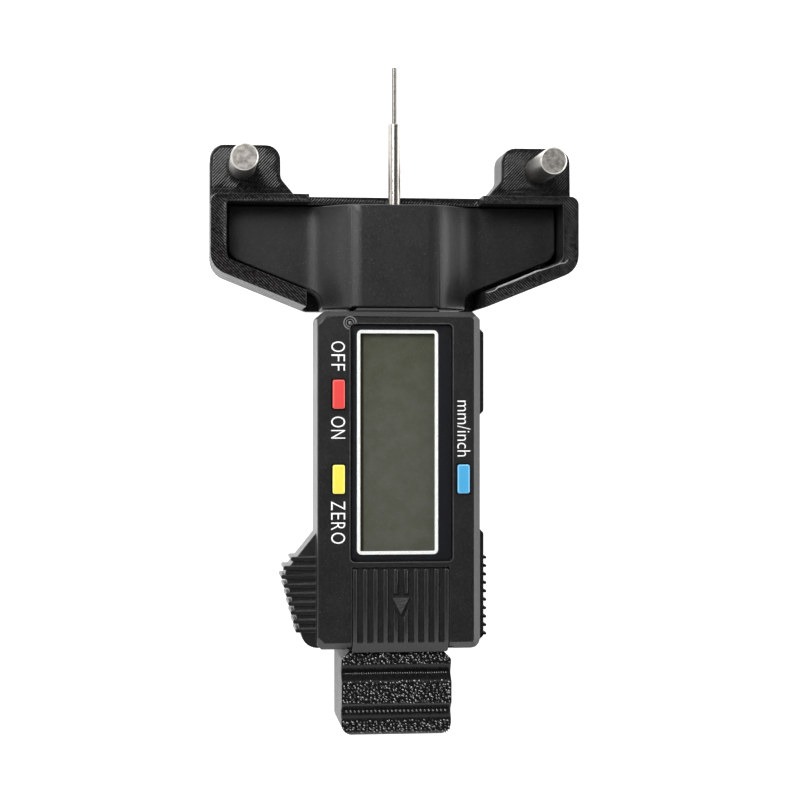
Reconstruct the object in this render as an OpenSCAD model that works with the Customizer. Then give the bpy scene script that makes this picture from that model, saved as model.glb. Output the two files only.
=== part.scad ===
// Belt tension gauge: a digital depth slide with a probe, seated in a printed holder with two pins.
// It lies on its back. The display faces +Z and the probe points to +Y.
// The origin is on the holder's back face, behind the seat of the crossbar at Y = 0.

/* [Holder] */
// Width over the holder's side walls
holder_w = 68; // [60:1:90]
// Depth of the tray from the crossbar's seat to its lower edge
tray_l = 19.4; // [16:0.2:26]
// Height of the rim above the holder's back
rim_z = 18; // [15.5:0.5:24]
// Thickness of the tray floor
floor_t = 3; // [2:0.25:4]
// Thickness of the side walls
side_wall = 3; // [2:0.25:5]
// Thickness of the wall that the belt lies against
belt_wall = 1.5; // [1.2:0.1:3]
// Thickness of the two slanted lower walls
slant_wall = 2.8; // [2:0.2:4]
// Length of a side wall below the seat
side_len = 12.1; // [9:0.1:14]
// Width of the lower edge between the slanted walls
foot_w = 31.6; // [29:0.2:38]
// Width of the gap between the slanted walls, where the neck comes out
neck_gap_w = 33; // [31:0.5:40]
// Width of the low stretch of belt wall under the probe
low_wall_w = 32; // [20:1:36]
// Radius of the tray's lower outer corners
tray_r = 4; // [1:0.5:5]

/* [Ears and pins] */
// Width of an ear
ear_w = 13.15; // [12:0.05:16]
// Thickness of an ear
ear_t = 9; // [6:0.5:12]
// Reach of an ear above the crossbar's seat
ear_reach = 11.45; // [11:0.05:16]
// Radius of an ear's outer corners
ear_r = 2.7; // [1:0.1:4]
// Rise of the flare that joins an ear to the belt wall
flare_rise = 3.8; // [2:0.1:4]
// Diameter of the free end of a belt pin
pin_d = 5; // [4:0.1:6]
// Diameter of the pressed end of a belt pin
pin_seat_d = 4.6; // [3.8:0.1:5.8]
// Length of a pin in front of its ear
pin_free = 16; // [12:0.5:25]
// Distance from a pin's axis to the outside of its ear
pin_inset = 6; // [5:0.1:8]
// Distance from a pin's axis to the end of its ear
pin_drop = 4.15; // [3.5:0.05:5]
// Thickness left behind a pin
pin_floor = 1; // [0.6:0.1:2]

/* [Crossbar] */
// Side clearance of the crossbar in the tray
cross_fit = 0.3; // [0.1:0.05:0.6]
// Clearance of the crossbar along the slanted walls
slant_fit = 0.7; // [0.3:0.1:1]
// Thickness of the wings
wing_t = 8.5; // [7:0.5:11]
// Thickness of the raised middle
plateau_t = 13.3; // [12.6:0.1:16]
// Width of the flat top of the raised middle
plateau_w = 16.1; // [12:0.1:20]
// Width of the raised middle at the foot of its ramps
ramp_w = 28.4; // [24:0.2:34]
// Width of the neck
neck_w = 26.8; // [24:0.2:29]
// Length of the crossbar from its seat to the feet of the neck
cross_l = 19.35; // [17:0.05:25]
// Depth of the recess between the neck's feet that takes the slide's nose
nose_recess = 0.5; // [0.3:0.1:1]

/* [Beam and scale] */
// Width of the beam
beam_w = 16; // [12:0.5:19]
// Thickness of the beam
beam_t = 3; // [2.5:0.1:3.2]
// Length of beam held inside the crossbar
beam_root = 13; // [8:0.5:15]
// Length of beam that stands out below the slide
beam_tail = 13.8; // [8:0.2:14.5]
// Width of the scale strip inlaid in the beam
scale_w = 13; // [8:0.5:14]
// Thickness of the scale strip
scale_t = 0.4; // [0.3:0.1:0.8]
// Running gap round the beam
beam_gap = 0.12; // [0.05:0.01:0.2]

/* [Probe] */
// Height of the probe's axis above the holder's back
probe_z = 14; // [13.5:0.1:15]
// Diameter of the probe rod
probe_d = 2.4; // [1.8:0.1:2.9]
// Reach of the thick rod beyond the seat
probe_reach = 15; // [8:0.5:20]
// Diameter of the thin tip
tip_d = 1; // [0.6:0.1:1.2]
// Reach of the tip beyond the seat, which is the measuring travel
travel = 25.4; // [20:0.2:28]
// Radial running clearance of the rod in the crossbar
probe_fit = 0.06; // [0.02:0.01:0.1]
// Length of rod held inside the slide
probe_held = 8; // [5:0.5:9]

/* [Slide housing] */
// Distance from the probe's axis to the housing's left side
shell_left = 14.7; // [14.4:0.1:19]
// Distance from the probe's axis to the housing's right side
shell_right = 15.3; // [14.8:0.1:19]
// Length of the housing
shell_l = 61.7; // [54:0.1:76]
// Gap between the neck's feet and the housing at the end of travel
shell_gap = 0.65; // [0.4:0.05:1]
// Height of the housing's front face above the holder's back
shell_front = 20.5; // [20:0.1:24]
// Height of the parting plane between the two shells
parting_z = 8; // [8:0.1:9]
// Wall of the front shell
shell_wall = 1.6; // [1.2:0.1:2]
// Thickness of the front shell's face
face_t = 2.2; // [2.2:0.1:2.8]
// Radius of the screw posts
post_r = 2.1; // [1.8:0.1:2.3]
// Bevel along the front edge of the right side and the lower end
bevel_wide = 1.3; // [0.6:0.1:1.4]
// Bevel along the front edge of the upper end
bevel_top = 1; // [0.6:0.1:1.4]
// Bevel along the front edge of the left side
bevel_left = 0.15; // [0.1:0.05:1]
// Step of the rear shell inside the front shell's outline
rear_step = 0.25; // [0.1:0.05:0.8]
// Thickness of the rear shell behind the beam
rear_floor = 1.6; // [1.5:0.1:2]

/* [Grips] */
// Height of the grips above the holder's back
grip_z = 17; // [14:0.5:18]
// Reach of the thumb wedge beyond the left side
wedge_reach = 5.8; // [4:0.2:8]
// Pitch of the wedge's ribs
wedge_pitch = 1.64; // [1.4:0.02:2]
// Pitch of the right pad's teeth
tooth_pitch = 1.56; // [1.3:0.01:2]
// Width of a rib on the wedge
rib_w = 0.8; // [0.5:0.05:1.1]
// Radius of the right pad's teeth
tooth_r = 0.3; // [0.2:0.02:0.5]
// Reach of the pads beyond the right side
pad_reach = 1; // [0.6:0.1:1.6]

/* [Display and buttons] */
// Width of the face left of the lens
band_left = 6.1; // [6:0.1:7]
// Width of the face right of the lens
band_right = 5.3; // [5.2:0.1:7]
// Length of the face above the lens
band_top = 2.4; // [2:0.1:4]
// Thickness of the lens
lens_t = 1.05; // [0.8:0.05:1.1]
// Width of the printed white line round the display
line_w = 0.6; // [0.4:0.05:1]
// Thickness of the display
lcd_t = 2.5; // [1.5:0.1:3]
// Width of a button
button_w = 2.26; // [2:0.02:2.6]
// Length of a button
button_l = 5.3; // [4:0.1:6]
// Height of a button above the face
button_rise = 0.8; // [0.5:0.1:1.2]
// Travel of a button
button_travel = 0.5; // [0.2:0.05:0.6]
// Clearance of a button in its hole
button_fit = 0.12; // [0.08:0.02:0.2]
// Distance from the housing's upper end to the power button
power_drop = 15.15; // [14:0.05:18]
// Distance from the housing's upper end to the zero and unit buttons
zero_drop = 30.6; // [28:0.1:34]

/* [Battery] */
// Diameter of the battery cell
cell_d = 11.6; // [9.5:0.1:12]
// Thickness of the battery cell
cell_t = 5.4; // [4:0.1:5.4]
// Width of the battery cover
cover_w = 17.6; // [16:0.1:18.5]
// Length of the battery cover inside the housing
cover_l = 14.9; // [14.5:0.1:17]
// Clearance of the battery cover
cover_fit = 0.12; // [0.08:0.02:0.2]
// Number of ribs on the battery cover
cover_ribs = 10; // [6:1:11]

/* [Thumb block] */
// Width of the thumb block
block_w = 20.3; // [19.5:0.1:24]
// Length of the thumb block
block_l = 15.7; // [15.5:0.1:22]
// Height of the block's middle band above the holder's back
block_z = 18.7; // [14:0.1:18.7]
// Gap between the housing and the block
block_gap = 0.3; // [0.1:0.1:0.5]
// Length of the block's tongue behind the housing
tongue_l = 8; // [6:0.5:12]

/* [Hidden] */
$fn = 48;

// Overlap for cuts and joins, the clearance of pieces that are glued or screwed in place,
// the clearance of pressed pieces, and the segments of a rounded corner
over = 1;
snug = 0.05;
press = 0.02;
arc_steps = 6;

// Holder and crossbar
half_w = holder_w / 2;
slope = (tray_l - side_len) / (half_w - foot_w / 2);
tray_top_r = 1.5;
cavity_r = 1.2;
ear_in = half_w - ear_w;
flare_turn_r = 2;
pin_x = half_w - pin_inset;
pin_y = ear_reach - pin_drop;
pin_bevel = 0.25;
cross_x = half_w - side_wall - cross_fit;
cross_r = 2.8;
cross_top_r = 0.4;
ramp_foot_r = 2.5;
ramp_top_r = 0.5;
neck_r = 3;
seat_gap = 0.1;
wing_z = floor_t + wing_t;
plateau_z = floor_t + plateau_t;
low_wall_gap = 0.3;
low_wall_z = probe_z - probe_d / 2 - low_wall_gap;

// Slide, beam and probe
slide_top = -cross_l - shell_gap;
slide_bottom = slide_top - shell_l;
beam_z = floor_t + rear_floor + beam_gap;
beam_top = -cross_l + beam_root;
beam_bottom = slide_bottom - beam_tail;
beam_pin_r = 1;
beam_pin_x = beam_w / 3;
beam_pin_y = -cross_l + beam_root / 2;
beam_pin_gap = 0.2;
beam_end_r = 0.6;
scale_margin = 2;
stop_r = 0.9;
stop_out = 0.75;
stop_groove_fit = 0.15;
stop_groove_end = 3;
stop_y = slide_top - travel - stop_groove_end;
rod_r = probe_d / 2;
rod_bevel = 0.2;
rod_l = probe_reach - slide_top + probe_held - 0.2;
tip_held = 6;
tip_l = travel - probe_reach + tip_held - 0.1;
wear_w = 1;
wear_inset = 3;
channel_right = beam_w / 2 + wear_w;
face_back = shell_front - face_t;
corner_cut = 1.4;
foot_cut = 0.8;
foot_r = 1.8;
post_inset = shell_wall + post_r - 0.4;
post_left = -shell_left + post_inset;
post_right = shell_right - post_inset;
post_high = slide_top - post_inset;
post_low = slide_bottom + post_inset;
screw_r = 0.8;
screw_head_r = 1.7;
screw_head_t = 1.2;
screw_hole_r = screw_r + 0.2;
screw_sink_r = screw_head_r + 0.15;
screw_sunk = 0.3;
slot_w = 0.35;
slot_l = 1.9;
slot_t = 0.6;
screw_reach = 5;
pilot_l = screw_reach + 0.5;
nose_w = 15.6;
nose_gap = 0.5;
nose_l = shell_gap + nose_recess - nose_gap;
nose_z = shell_front - bevel_top;
nose_cut = 0.5;
nose_bevel = 0.2;
seam_w = 0.15;
seam_t = 0.4;
boss_w = 6;
boss_wall = 1.2;
boss_z = 15.7;

// Display, battery and cover
lens_lo = [-shell_left + band_left, slide_bottom + cover_l + 1.2];
lens_hi = [shell_right - band_right, slide_top - band_top];
lens_r = 0.75;
lens_z = shell_front - lens_t + snug;
mask_t = 0.2;
mask_gap = 0.02;
notch_at = [lens_lo.x - 0.15, lens_hi.y + 0.25];
notch_r = 1.1;
notch_t = 0.35;
notch_pit_r = 0.6;
notch_pit_t = 0.9;
line_lo = lens_lo + [1.2, 1.2];
line_hi = lens_hi - [2.5, 1];
line_r = 0.85;
view_r = line_r - line_w;
view_lo = line_lo + [line_w, line_w];
view_hi = line_hi - [line_w, line_w];
ledge = 0.3;
lcd_rim = 0.7;
strip_w = 1.8;
strip_ends = [2, 3.5];
board_t = 1.2;
board_z = parting_z + board_t;
board_lo = [-shell_left + shell_wall + 0.5, post_low + post_r + 0.3];
board_hi = [shell_right - shell_wall - 0.5, post_high - post_r - 0.3];
board_r = 0.8;
board_screw_x = [board_lo.x + 1.7, board_hi.x - 1.7];
board_screw_y = [board_hi.y - 2.4, board_lo.y + 9];
board_screw_r = 0.7;
board_head_r = 1.3;
board_head_t = 0.8;
board_pilot_l = 3;
switch_w = 3.2;
switch_t = 2.5;
switch_r = 0.4;
chip_r = 4;
chip_h = 1.3;
chip_foot = 0.1;
chip_edge = 35;
plunger_r = 0.9;
plunger_l = 1;
plunger_z = board_z + switch_t + plunger_l;
plunger_gap = 0.1;
left_button_x = -shell_left + 3.85;
right_button_x = shell_right - 3.3;
power_y = slide_top - power_drop;
zero_y = slide_top - zero_drop;
button_r = 0.4;
button_bevel = 0.2;
button_at = [[left_button_x, power_y], [left_button_x, zero_y], [right_button_x, zero_y]];
flange_out = 0.35;
flange_t = 0.8;
flange_z = face_back - 0.1;
cover_x = (lens_lo.x + lens_hi.x) / 2 - 0.15;
cover_z = face_back + 0.65;
cover_base_t = 0.95;
cover_rise = 0.05;
cover_lip = 0.6;
cover_lip_l = 2;
cover_lip_drop = 0.25;
cover_lip_bevel = [1.8, 1.3];
cover_r = 0.4;
rail_out = 0.8;
rail_t = 0.5;
rail_start = 2;
rail_end = 0.8;
rail_gap = 0.1;
cover_rib_w = 0.8;
cover_rib_end = 0.15;
cover_pitch = (cover_w - cover_rib_w) / (cover_ribs - 1);
arrow_l = 3.5;
arrow_lean = 26;
arrow_top = slide_bottom + 9.6;
arrow_gap = 0.6;
arrow_r = 0.15;
arrow_drop = 0.12;
cell_x = cover_x;
cell_y = slide_bottom + cell_d / 2 + 2.3;
cell_gap = 0.3;
cell_z = cover_z - cell_gap - cell_t;
bay_r = cell_d / 2 + 0.2;
bay_wall = 1;
bay_floor_t = 0.8;
leaf_t = 0.2;
leaf_gap = 0.05;
leg_w = 1;
leg_t = 0.3;
leg_y = cell_y + 0.75;
side_leaf = [0.25, 3];
leaf_slit_gap = 0.2;

// Grips
wedge_x = -shell_left - wedge_reach;
wedge_top = slide_bottom + 21.2;
wedge_tip_y = slide_bottom + 14;
wedge_tip_r = 1.2;
wedge_foot = [-shell_left - 2.1, slide_bottom + 0.05];
wedge_foot_r = 3;
wedge_ribs = 9;
wedge_rib_y = slide_bottom + 16.45;
rib_out = 0.85;
rib_rise = 0.4;
rib_end_r = 0.3;
pad_x = shell_right + pad_reach;
pad_r = 0.6;
high_pad = [slide_top - 19.2, slide_top - 2.7];
low_pad = [slide_bottom + 1, slide_bottom + 22];
teeth = 10;
tooth_y = slide_bottom + 16.45;
tooth_sink = 0.05;

// Thumb block
block_top = slide_bottom - block_gap;
block_bottom = block_top - block_l;
block_r = 2.2;
block_cut = 1.75;
block_cut_r = 0.8;
block_back_r = 0.8;
block_front_r = 1.2;
block_flank = 1.4;
block_step = 0.8;
groove_step = 1.8;
groove_up = 4.4;
groove_low = block_l - 4.45;
band_edge_r = 1;
groove_r = 0.5;
sleeve_gap = 0.3;
sleeve_end = 0.5;
tongue_inset = 0.9;
tongue_join = 2.4;
tongue_r = 2;
tongue_top = post_low + tongue_l / 2;

// Unit vector along v
function unit(v) = v / norm(v);

// Points that round the corner p = [x, y, radius] between its neighbours a and b
function corner_arc(a, p, b) =
    let (
        here = [p.x, p.y],
        u = unit([a.x, a.y] - here),
        w = unit([b.x, b.y] - here),
        half = acos(u * w) / 2,
        centre = here + unit(u + w) * p.z / sin(half),
        first = here + u * p.z / tan(half) - centre,
        last = here + w * p.z / tan(half) - centre,
        start = atan2(first.y, first.x),
        turn = (atan2(last.y, last.x) - start + 540) % 360 - 180
    )
    [
        for (i = [0:arc_steps])
            let (angle = start + turn * i / arc_steps)
            centre + p.z * [cos(angle), sin(angle)]
    ];

// Plain points of a closed outline whose corners are [x, y, radius]
function rounded(c) = [
    for (i = [0:len(c) - 1])
        each (c[i].z > 0
            ? corner_arc(c[(i + len(c) - 1) % len(c)], c[i], c[(i + 1) % len(c)])
            : [[c[i].x, c[i].y]])
];

// Corners of the right half, going up, followed by their mirror images
function both_sides(c) = concat(c, [for (i = [len(c) - 1:-1:0]) [-c[i].x, c[i].y, c[i].z]]);

// Corners of the rectangle from lo to hi with one radius
function box_corners(lo, hi, r = 0) = [[lo.x, lo.y, r], [hi.x, lo.y, r], [hi.x, hi.y, r], [lo.x, hi.y, r]];

// Y of the tray's slanted lower edge at x, moved inwards by inset
function slant_y(x, inset = 0) = -tray_l + (x - foot_w / 2) * slope + inset * sqrt(1 + slope * slope);

// Left edge of the thumb wedge at y, above or below its tip
function wedge_edge(y) =
    y > wedge_tip_y
        ? wedge_x + (y - wedge_tip_y) * (wedge_reach / (wedge_top - wedge_tip_y))
        : wedge_x + (wedge_tip_y - y) * (wedge_foot.x - wedge_x) / (wedge_tip_y - wedge_foot.y);

// Corners of the arrow on the battery cover, grown by out, with the radius r
function arrow(out, r) =
    let (
        top = arrow_top + out,
        tip = arrow_top - arrow_l - out / sin(arrow_lean),
        half = (top - tip) * tan(arrow_lean)
    )
    [[cover_x - half, top, r], [cover_x, tip, r], [cover_x + half, top, r]];

// A flat plate of the given outline between two heights
module slab(corners, from, to) {
    translate([0, 0, from])
        linear_extrude(to - from)
            polygon(rounded(corners));
}

// A round rod or bore along +Z
module post(at, r, from, to) {
    translate([at.x, at.y, from])
        cylinder(r = r, h = to - from);
}

// Cuts a bevel along the edge from a to b at height top, with the solid on the left
module edge_bevel(a, b, top, inset, drop) {
    way = b - a;
    translate([a.x, a.y, top])
        rotate([0, 0, atan2(way.y, way.x)])
            translate([-over, 0, 0])
                rotate([90, 0, 90])
                    linear_extrude(norm(way) + 2 * over)
                        polygon([[2 * inset, drop], [-inset, drop], [-inset, -2 * drop]]);
}

// A profile of [x, z] points pulled along Y
module along_y(points, from, to) {
    translate([0, to, 0])
        rotate([90, 0, 0])
            linear_extrude(to - from)
                polygon(points);
}

// A pan-head screw with a cross recess in its head at the back and its shank towards +Z
module screw(at, back, length) {
    difference() {
        union() {
            post(at, screw_head_r, back, back + screw_head_t);
            post(at, screw_r, back, back + length);
        }
        for (half = [[slot_l, slot_w] / 2, [slot_w, slot_l] / 2])
            slab(box_corners(at - half, at + half), back - over, back + slot_t);
    }
}

// Right-hand corners of the tray's outline
tray_side = [[foot_w / 2, -tray_l, 0], [half_w, -side_len, tray_r], [half_w, belt_wall, tray_top_r]];

// Right-hand corners of the tray's inside, open between the slanted walls
cavity_side = [
    [neck_gap_w / 2, -tray_l - over, 0],
    [neck_gap_w / 2, slant_y(neck_gap_w / 2, slant_wall), 0],
    [half_w - side_wall, slant_y(half_w - side_wall, slant_wall), cavity_r],
    [half_w - side_wall, 0, 0]
];

// Corners of the right ear and its flare
ear_corners = [
    [half_w, -over, 0],
    [half_w, ear_reach, ear_r],
    [ear_in, ear_reach, ear_r],
    [ear_in, belt_wall + flare_rise, flare_turn_r],
    [ear_in - flare_rise, belt_wall / 2, 0],
    [ear_in, -over, 0]
];

// Printed tray with two ears
module holder() {
    color("#1c1c1d")
    difference() {
        union() {
            slab(both_sides(tray_side), 0, rim_z);
            for (side = [0, 1])
                mirror([side, 0, 0])
                    slab(ear_corners, 0, ear_t);
        }
        slab(both_sides(cavity_side), floor_t, rim_z + over);
        translate([-low_wall_w / 2, -over, low_wall_z])
            cube([low_wall_w, belt_wall + 2 * over, rim_z]);
        for (side = [-1, 1])
            post([side * pin_x, pin_y], pin_seat_d / 2 + press, pin_floor, ear_t + over);
    }
}

// Two steel pins that hold the belt
module belt_pins() {
    seat_r = pin_seat_d / 2;
    free_r = pin_d / 2;
    end_z = ear_t + pin_free;
    color("#a9a59c")
    for (side = [-1, 1])
        translate([side * pin_x, pin_y, 0])
            rotate_extrude()
                polygon([
                    [0, pin_floor], [seat_r - pin_bevel, pin_floor], [seat_r, pin_floor + pin_bevel],
                    [seat_r, ear_t], [free_r, ear_t],
                    [free_r, end_z - pin_bevel], [free_r - pin_bevel, end_z], [0, end_z]
                ]);
}

// Right-hand corners of the crossbar's outline
cross_side = [
    [neck_w / 2, -cross_l, 0],
    [neck_w / 2, slant_y(neck_w / 2, slant_wall + slant_fit), neck_r],
    [cross_x, slant_y(cross_x, slant_wall + slant_fit), cross_r],
    [cross_x, -seat_gap, cross_top_r]
];

// Right-hand corners of the crossbar's cross-section in [x, z], from its back up the ramp
ramp_side = [
    [half_w, floor_t, 0],
    [half_w, wing_z, 0],
    [ramp_w / 2, wing_z, ramp_foot_r],
    [plateau_w / 2, plateau_z, ramp_top_r]
];

// Moulded crossbar with wings, a raised middle and the neck that holds the beam
module crossbar() {
    color("#2d2d2e")
    difference() {
        intersection() {
            slab(both_sides(cross_side), floor_t, plateau_z);
            along_y(rounded(both_sides(ramp_side)), -tray_l - over, over);
        }
        translate([-nose_w / 2 - cross_fit, -cross_l - over, parting_z])
            cube([nose_w + 2 * cross_fit, over + nose_recess, plateau_z]);
        slab(box_corners([-beam_w / 2 - snug, -cross_l - over], [beam_w / 2 + snug, beam_top + snug]),
            beam_z - snug, beam_z + beam_t + snug);
        for (side = [-1, 1])
            post([side * beam_pin_x, beam_pin_y], beam_pin_r + snug, floor_t - over, wing_z - over);
        translate([0, over, probe_z])
            rotate([90, 0, 0])
                cylinder(r = probe_d / 2 + probe_fit, h = cross_l + 2 * over);
    }
}

// Flat steel beam that the slide runs on
module beam() {
    color("#8f9092")
    difference() {
        slab(box_corners([-beam_w / 2, beam_bottom], [beam_w / 2, beam_top], beam_end_r),
            beam_z, beam_z + beam_t);
        slab(box_corners([-scale_w / 2 - snug, beam_bottom + scale_margin], [scale_w / 2 + snug, -cross_l]),
            beam_z + beam_t - scale_t, beam_z + beam_t + over);
        for (side = [-1, 1])
            post([side * beam_pin_x, beam_pin_y], beam_pin_r + snug, beam_z - over, beam_z + beam_t + over);
        post([0, stop_y], stop_r + snug, beam_z - over, beam_z + beam_t);
    }
}

// Two pins that lock the beam in the crossbar
module beam_pins() {
    color("#a9a59c")
    for (side = [-1, 1])
        post([side * beam_pin_x, beam_pin_y], beam_pin_r,
            floor_t + beam_pin_gap, wing_z - over - beam_pin_gap);
}

// Pin in the beam that ends the slide's travel
module stop_pin() {
    color("#a9a59c")
    post([0, stop_y], stop_r, beam_z - stop_out, beam_z + beam_t - scale_t - snug);
}

// Patterned strip that the slide reads
module scale_strip() {
    color("#3b5f4a")
    slab(box_corners([-scale_w / 2, beam_bottom + scale_margin + snug], [scale_w / 2, -cross_l - snug]),
        beam_z + beam_t - scale_t + press, beam_z + beam_t);
}

// Points of the front shell's outline, anticlockwise from the upper left
shell_outline = rounded([
    [-shell_left + corner_cut, slide_top, 0],
    [-shell_left, slide_top - corner_cut, 0],
    [-shell_left, slide_bottom + foot_cut, 0],
    [-shell_left + foot_cut, slide_bottom, 0],
    [shell_right, slide_bottom, foot_r],
    [shell_right, slide_top - corner_cut, 0],
    [shell_right - corner_cut, slide_top, 0]
]);

// Bevel that starts at each point: upper left corner, left side, lower end and right side, upper end
shell_bevels = [
    bevel_top, bevel_left, for (i = [0:arc_steps + 2]) bevel_wide, bevel_top, bevel_top
];

// Right-hand corners of the nose between the crossbar's feet
nose_side = [
    [nose_w / 2, slide_top - over, 0],
    [nose_w / 2, slide_top + seam_w, 0],
    [nose_w / 2 - nose_cut, slide_top + nose_l, 0]
];

// Solid block of the front shell with its bevelled front edges and its nose
module shell_block() {
    difference() {
        union() {
            translate([0, 0, parting_z])
                linear_extrude(shell_front - parting_z)
                    polygon(shell_outline);
            slab(both_sides(nose_side), wing_z, nose_z);
        }
        for (i = [0:len(shell_outline) - 1])
            edge_bevel(shell_outline[i], shell_outline[(i + 1) % len(shell_outline)], shell_front,
                shell_bevels[i], shell_bevels[i]);
        edge_bevel([nose_w / 2, slide_top + nose_l], [-nose_w / 2, slide_top + nose_l], nose_z,
            nose_bevel, nose_bevel);
        slab(box_corners([-nose_w / 2 - over, slide_top], [nose_w / 2 + over, slide_top + seam_w]),
            nose_z - seam_t, shell_front);
    }
}

// Thumb wedge with its ribs on the left side
module thumb_wedge() {
    slab([
        [-shell_left + over, wedge_top, 0],
        [-shell_left, wedge_top, 0],
        [wedge_x, wedge_tip_y, wedge_tip_r],
        [wedge_foot.x, wedge_foot.y, wedge_foot_r],
        [-shell_left + over, wedge_foot.y, 0]
    ], parting_z, grip_z);
    for (i = [0:wedge_ribs - 1]) {
        y = wedge_rib_y - i * wedge_pitch;
        slab([
            [-shell_left + over, y + rib_w / 2, 0],
            [wedge_edge(y) - rib_out, y + rib_w / 2, rib_end_r],
            [wedge_edge(y) - rib_out, y - rib_w / 2, rib_end_r],
            [-shell_left + over, y - rib_w / 2, 0]
        ], parting_z, grip_z + rib_rise);
    }
}

// Pad on the right side between two places along Y, with slanted ends
module side_pad(range) {
    slab([
        [shell_right - over, range[0] - over, 0],
        [pad_x, range[0] + pad_reach, pad_r],
        [pad_x, range[1] - pad_reach, pad_r],
        [shell_right - over, range[1] + over, 0]
    ], parting_z, grip_z);
}

// Pads on the right side, the lower one with teeth
module right_pads() {
    side_pad(high_pad);
    side_pad(low_pad);
    for (i = [0:teeth - 1])
        post([pad_x + tooth_r - tooth_sink, tooth_y - i * tooth_pitch], tooth_r, parting_z, grip_z);
}

// Window of a button in the face
module button_window(at) {
    half = [button_w, button_l] / 2 + [button_fit, button_fit];
    slab(box_corners(at - half, at + half, button_r), face_back - over, shell_front + over);
}

// Front half of the slide's housing, with the battery bay, the grips and the screw posts
module front_shell() {
    color("#222223")
    difference() {
        union() {
            difference() {
                shell_block();
                slab(box_corners([-shell_left + shell_wall, slide_bottom + shell_wall],
                    [shell_right - shell_wall, slide_top - shell_wall]), parting_z - over, face_back);
            }
            for (x = [post_left, post_right], y = [post_low, post_high])
                post([x, y], post_r, parting_z, face_back + over / 2);
            post([cell_x, cell_y], bay_r + bay_wall, cell_z - leaf_t - bay_floor_t, face_back + over / 2);
            slab(box_corners([-boss_w / 2, slide_top - probe_held], [boss_w / 2, slide_top - over]),
                probe_z - probe_d / 2 - boss_wall, boss_z);
            thumb_wedge();
            right_pads();
        }
        slab(box_corners(lens_lo - [snug, snug], lens_hi + [snug, snug], lens_r),
            lens_z - mask_t, shell_front + over);
        post(notch_at, notch_r, shell_front - notch_t, shell_front + over);
        post(notch_at, notch_pit_r, shell_front - notch_pit_t, shell_front + over);
        slab(box_corners(view_lo - [ledge, ledge], view_hi + [ledge, ledge]), face_back - over, shell_front);
        for (at = button_at)
            button_window(at);
        slab(box_corners([cover_x - cover_w / 2 - cover_fit, slide_bottom - over],
            [cover_x + cover_w / 2 + cover_fit, slide_bottom + cover_l + cover_fit]),
            cover_z - rail_gap, shell_front + over);
        slab(box_corners([cover_x - cover_w / 2 - rail_out - cover_fit, slide_bottom - over],
            [cover_x + cover_w / 2 + rail_out + cover_fit, slide_bottom + cover_l - rail_end + cover_fit]),
            cover_z - rail_gap, cover_z + rail_t + rail_gap);
        post([cell_x, cell_y], bay_r, cell_z - leaf_t, shell_front);
        for (x = [post_left, post_right], y = [post_low, post_high])
            post([x, y], screw_r + snug, parting_z - over, parting_z + pilot_l);
        translate([0, slide_top + 2, probe_z])
            rotate([90, 0, 0])
                cylinder(r = probe_d / 2 + press, h = probe_held + 2 + over);
        contact_slits();
    }
}

// Slits in the battery bay for the two contacts
module contact_slits() {
    slit = [leg_w, leg_t] + 2 * [leaf_slit_gap, leaf_slit_gap] * 0.75;
    translate([cell_x - slit.x / 2, leg_y + (leg_t - slit.y) / 2, parting_z])
        cube([slit.x, slit.y, cell_z - parting_z]);
    side_l = side_leaf[1] + 2 * leaf_slit_gap;
    translate([cell_x - bay_r - side_leaf[0] - 3 * leaf_gap, cell_y - side_l / 2, parting_z])
        cube([bay_wall, side_l, face_back - parting_z]);
}

// Groove that runs along the stop pin
module stop_groove() {
    r = stop_r + stop_groove_fit;
    slab(box_corners([-r, stop_y - r], [r, stop_y + travel + r], stop_r),
        beam_z - stop_out - stop_groove_fit, parting_z);
}

// Rear half of the housing, with the channel that the beam runs in
module rear_shell() {
    lo = [-shell_left + rear_step, slide_bottom + rear_step];
    hi = [shell_right - rear_step, slide_top - rear_step];
    color("#222223")
    difference() {
        slab(box_corners(lo, hi, corner_cut), floor_t, parting_z);
        slab(box_corners([-beam_w / 2 - beam_gap, lo.y - over], [channel_right + snug, hi.y + over]),
            floor_t + rear_floor, parting_z + over);
        stop_groove();
        for (x = [post_left, post_right], y = [post_low, post_high])
            post([x, y], screw_hole_r, floor_t - over, parting_z + over);
        for (x = [post_left, post_right])
            post([x, post_high], screw_sink_r, floor_t - over, floor_t + screw_sunk + screw_head_t);
        for (x = board_screw_x, y = board_screw_y)
            post([x, y], board_screw_r + snug, parting_z - board_pilot_l, parting_z + over);
    }
}

// The two upper screws of the housing
module shell_screws() {
    color("#77777a")
    for (x = [post_left, post_right])
        screw([x, post_high], floor_t + screw_sunk, parting_z - floor_t - screw_sunk + screw_reach);
}

// Brass strip that takes up the beam's side play
module wear_strip() {
    color("#b08d4a")
    slab(box_corners([channel_right - wear_w + beam_gap, slide_bottom + wear_inset],
        [channel_right, slide_top - wear_inset]), floor_t + rear_floor + 2 * snug, parting_z - 4 * snug);
}

// Steel rod that carries the probe's tip
module probe_rod() {
    color("#b3afa6")
    difference() {
        translate([0, probe_reach, probe_z])
            rotate([90, 0, 0])
                rotate_extrude()
                    polygon([
                        [0, 0], [rod_r - rod_bevel, 0], [rod_r, rod_bevel], [rod_r, rod_l], [0, rod_l]
                    ]);
        translate([0, probe_reach + over, probe_z])
            rotate([90, 0, 0])
                cylinder(r = tip_d / 2 + press, h = over + tip_held);
    }
}

// Thin tip that pushes on the belt
module probe_tip() {
    color("#bdbab3")
    translate([0, travel, probe_z])
        rotate([90, 0, 0])
            rotate_extrude()
                polygon([
                    [0, 0], [tip_d / 2 - rod_bevel / 2, 0], [tip_d / 2, rod_bevel / 2],
                    [tip_d / 2, tip_l], [0, tip_l]
                ]);
}

// Clear window over the display
module lens() {
    color("#39403a", 0.35)
    slab(box_corners(lens_lo, lens_hi, lens_r), lens_z, lens_z + lens_t);
}

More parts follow.
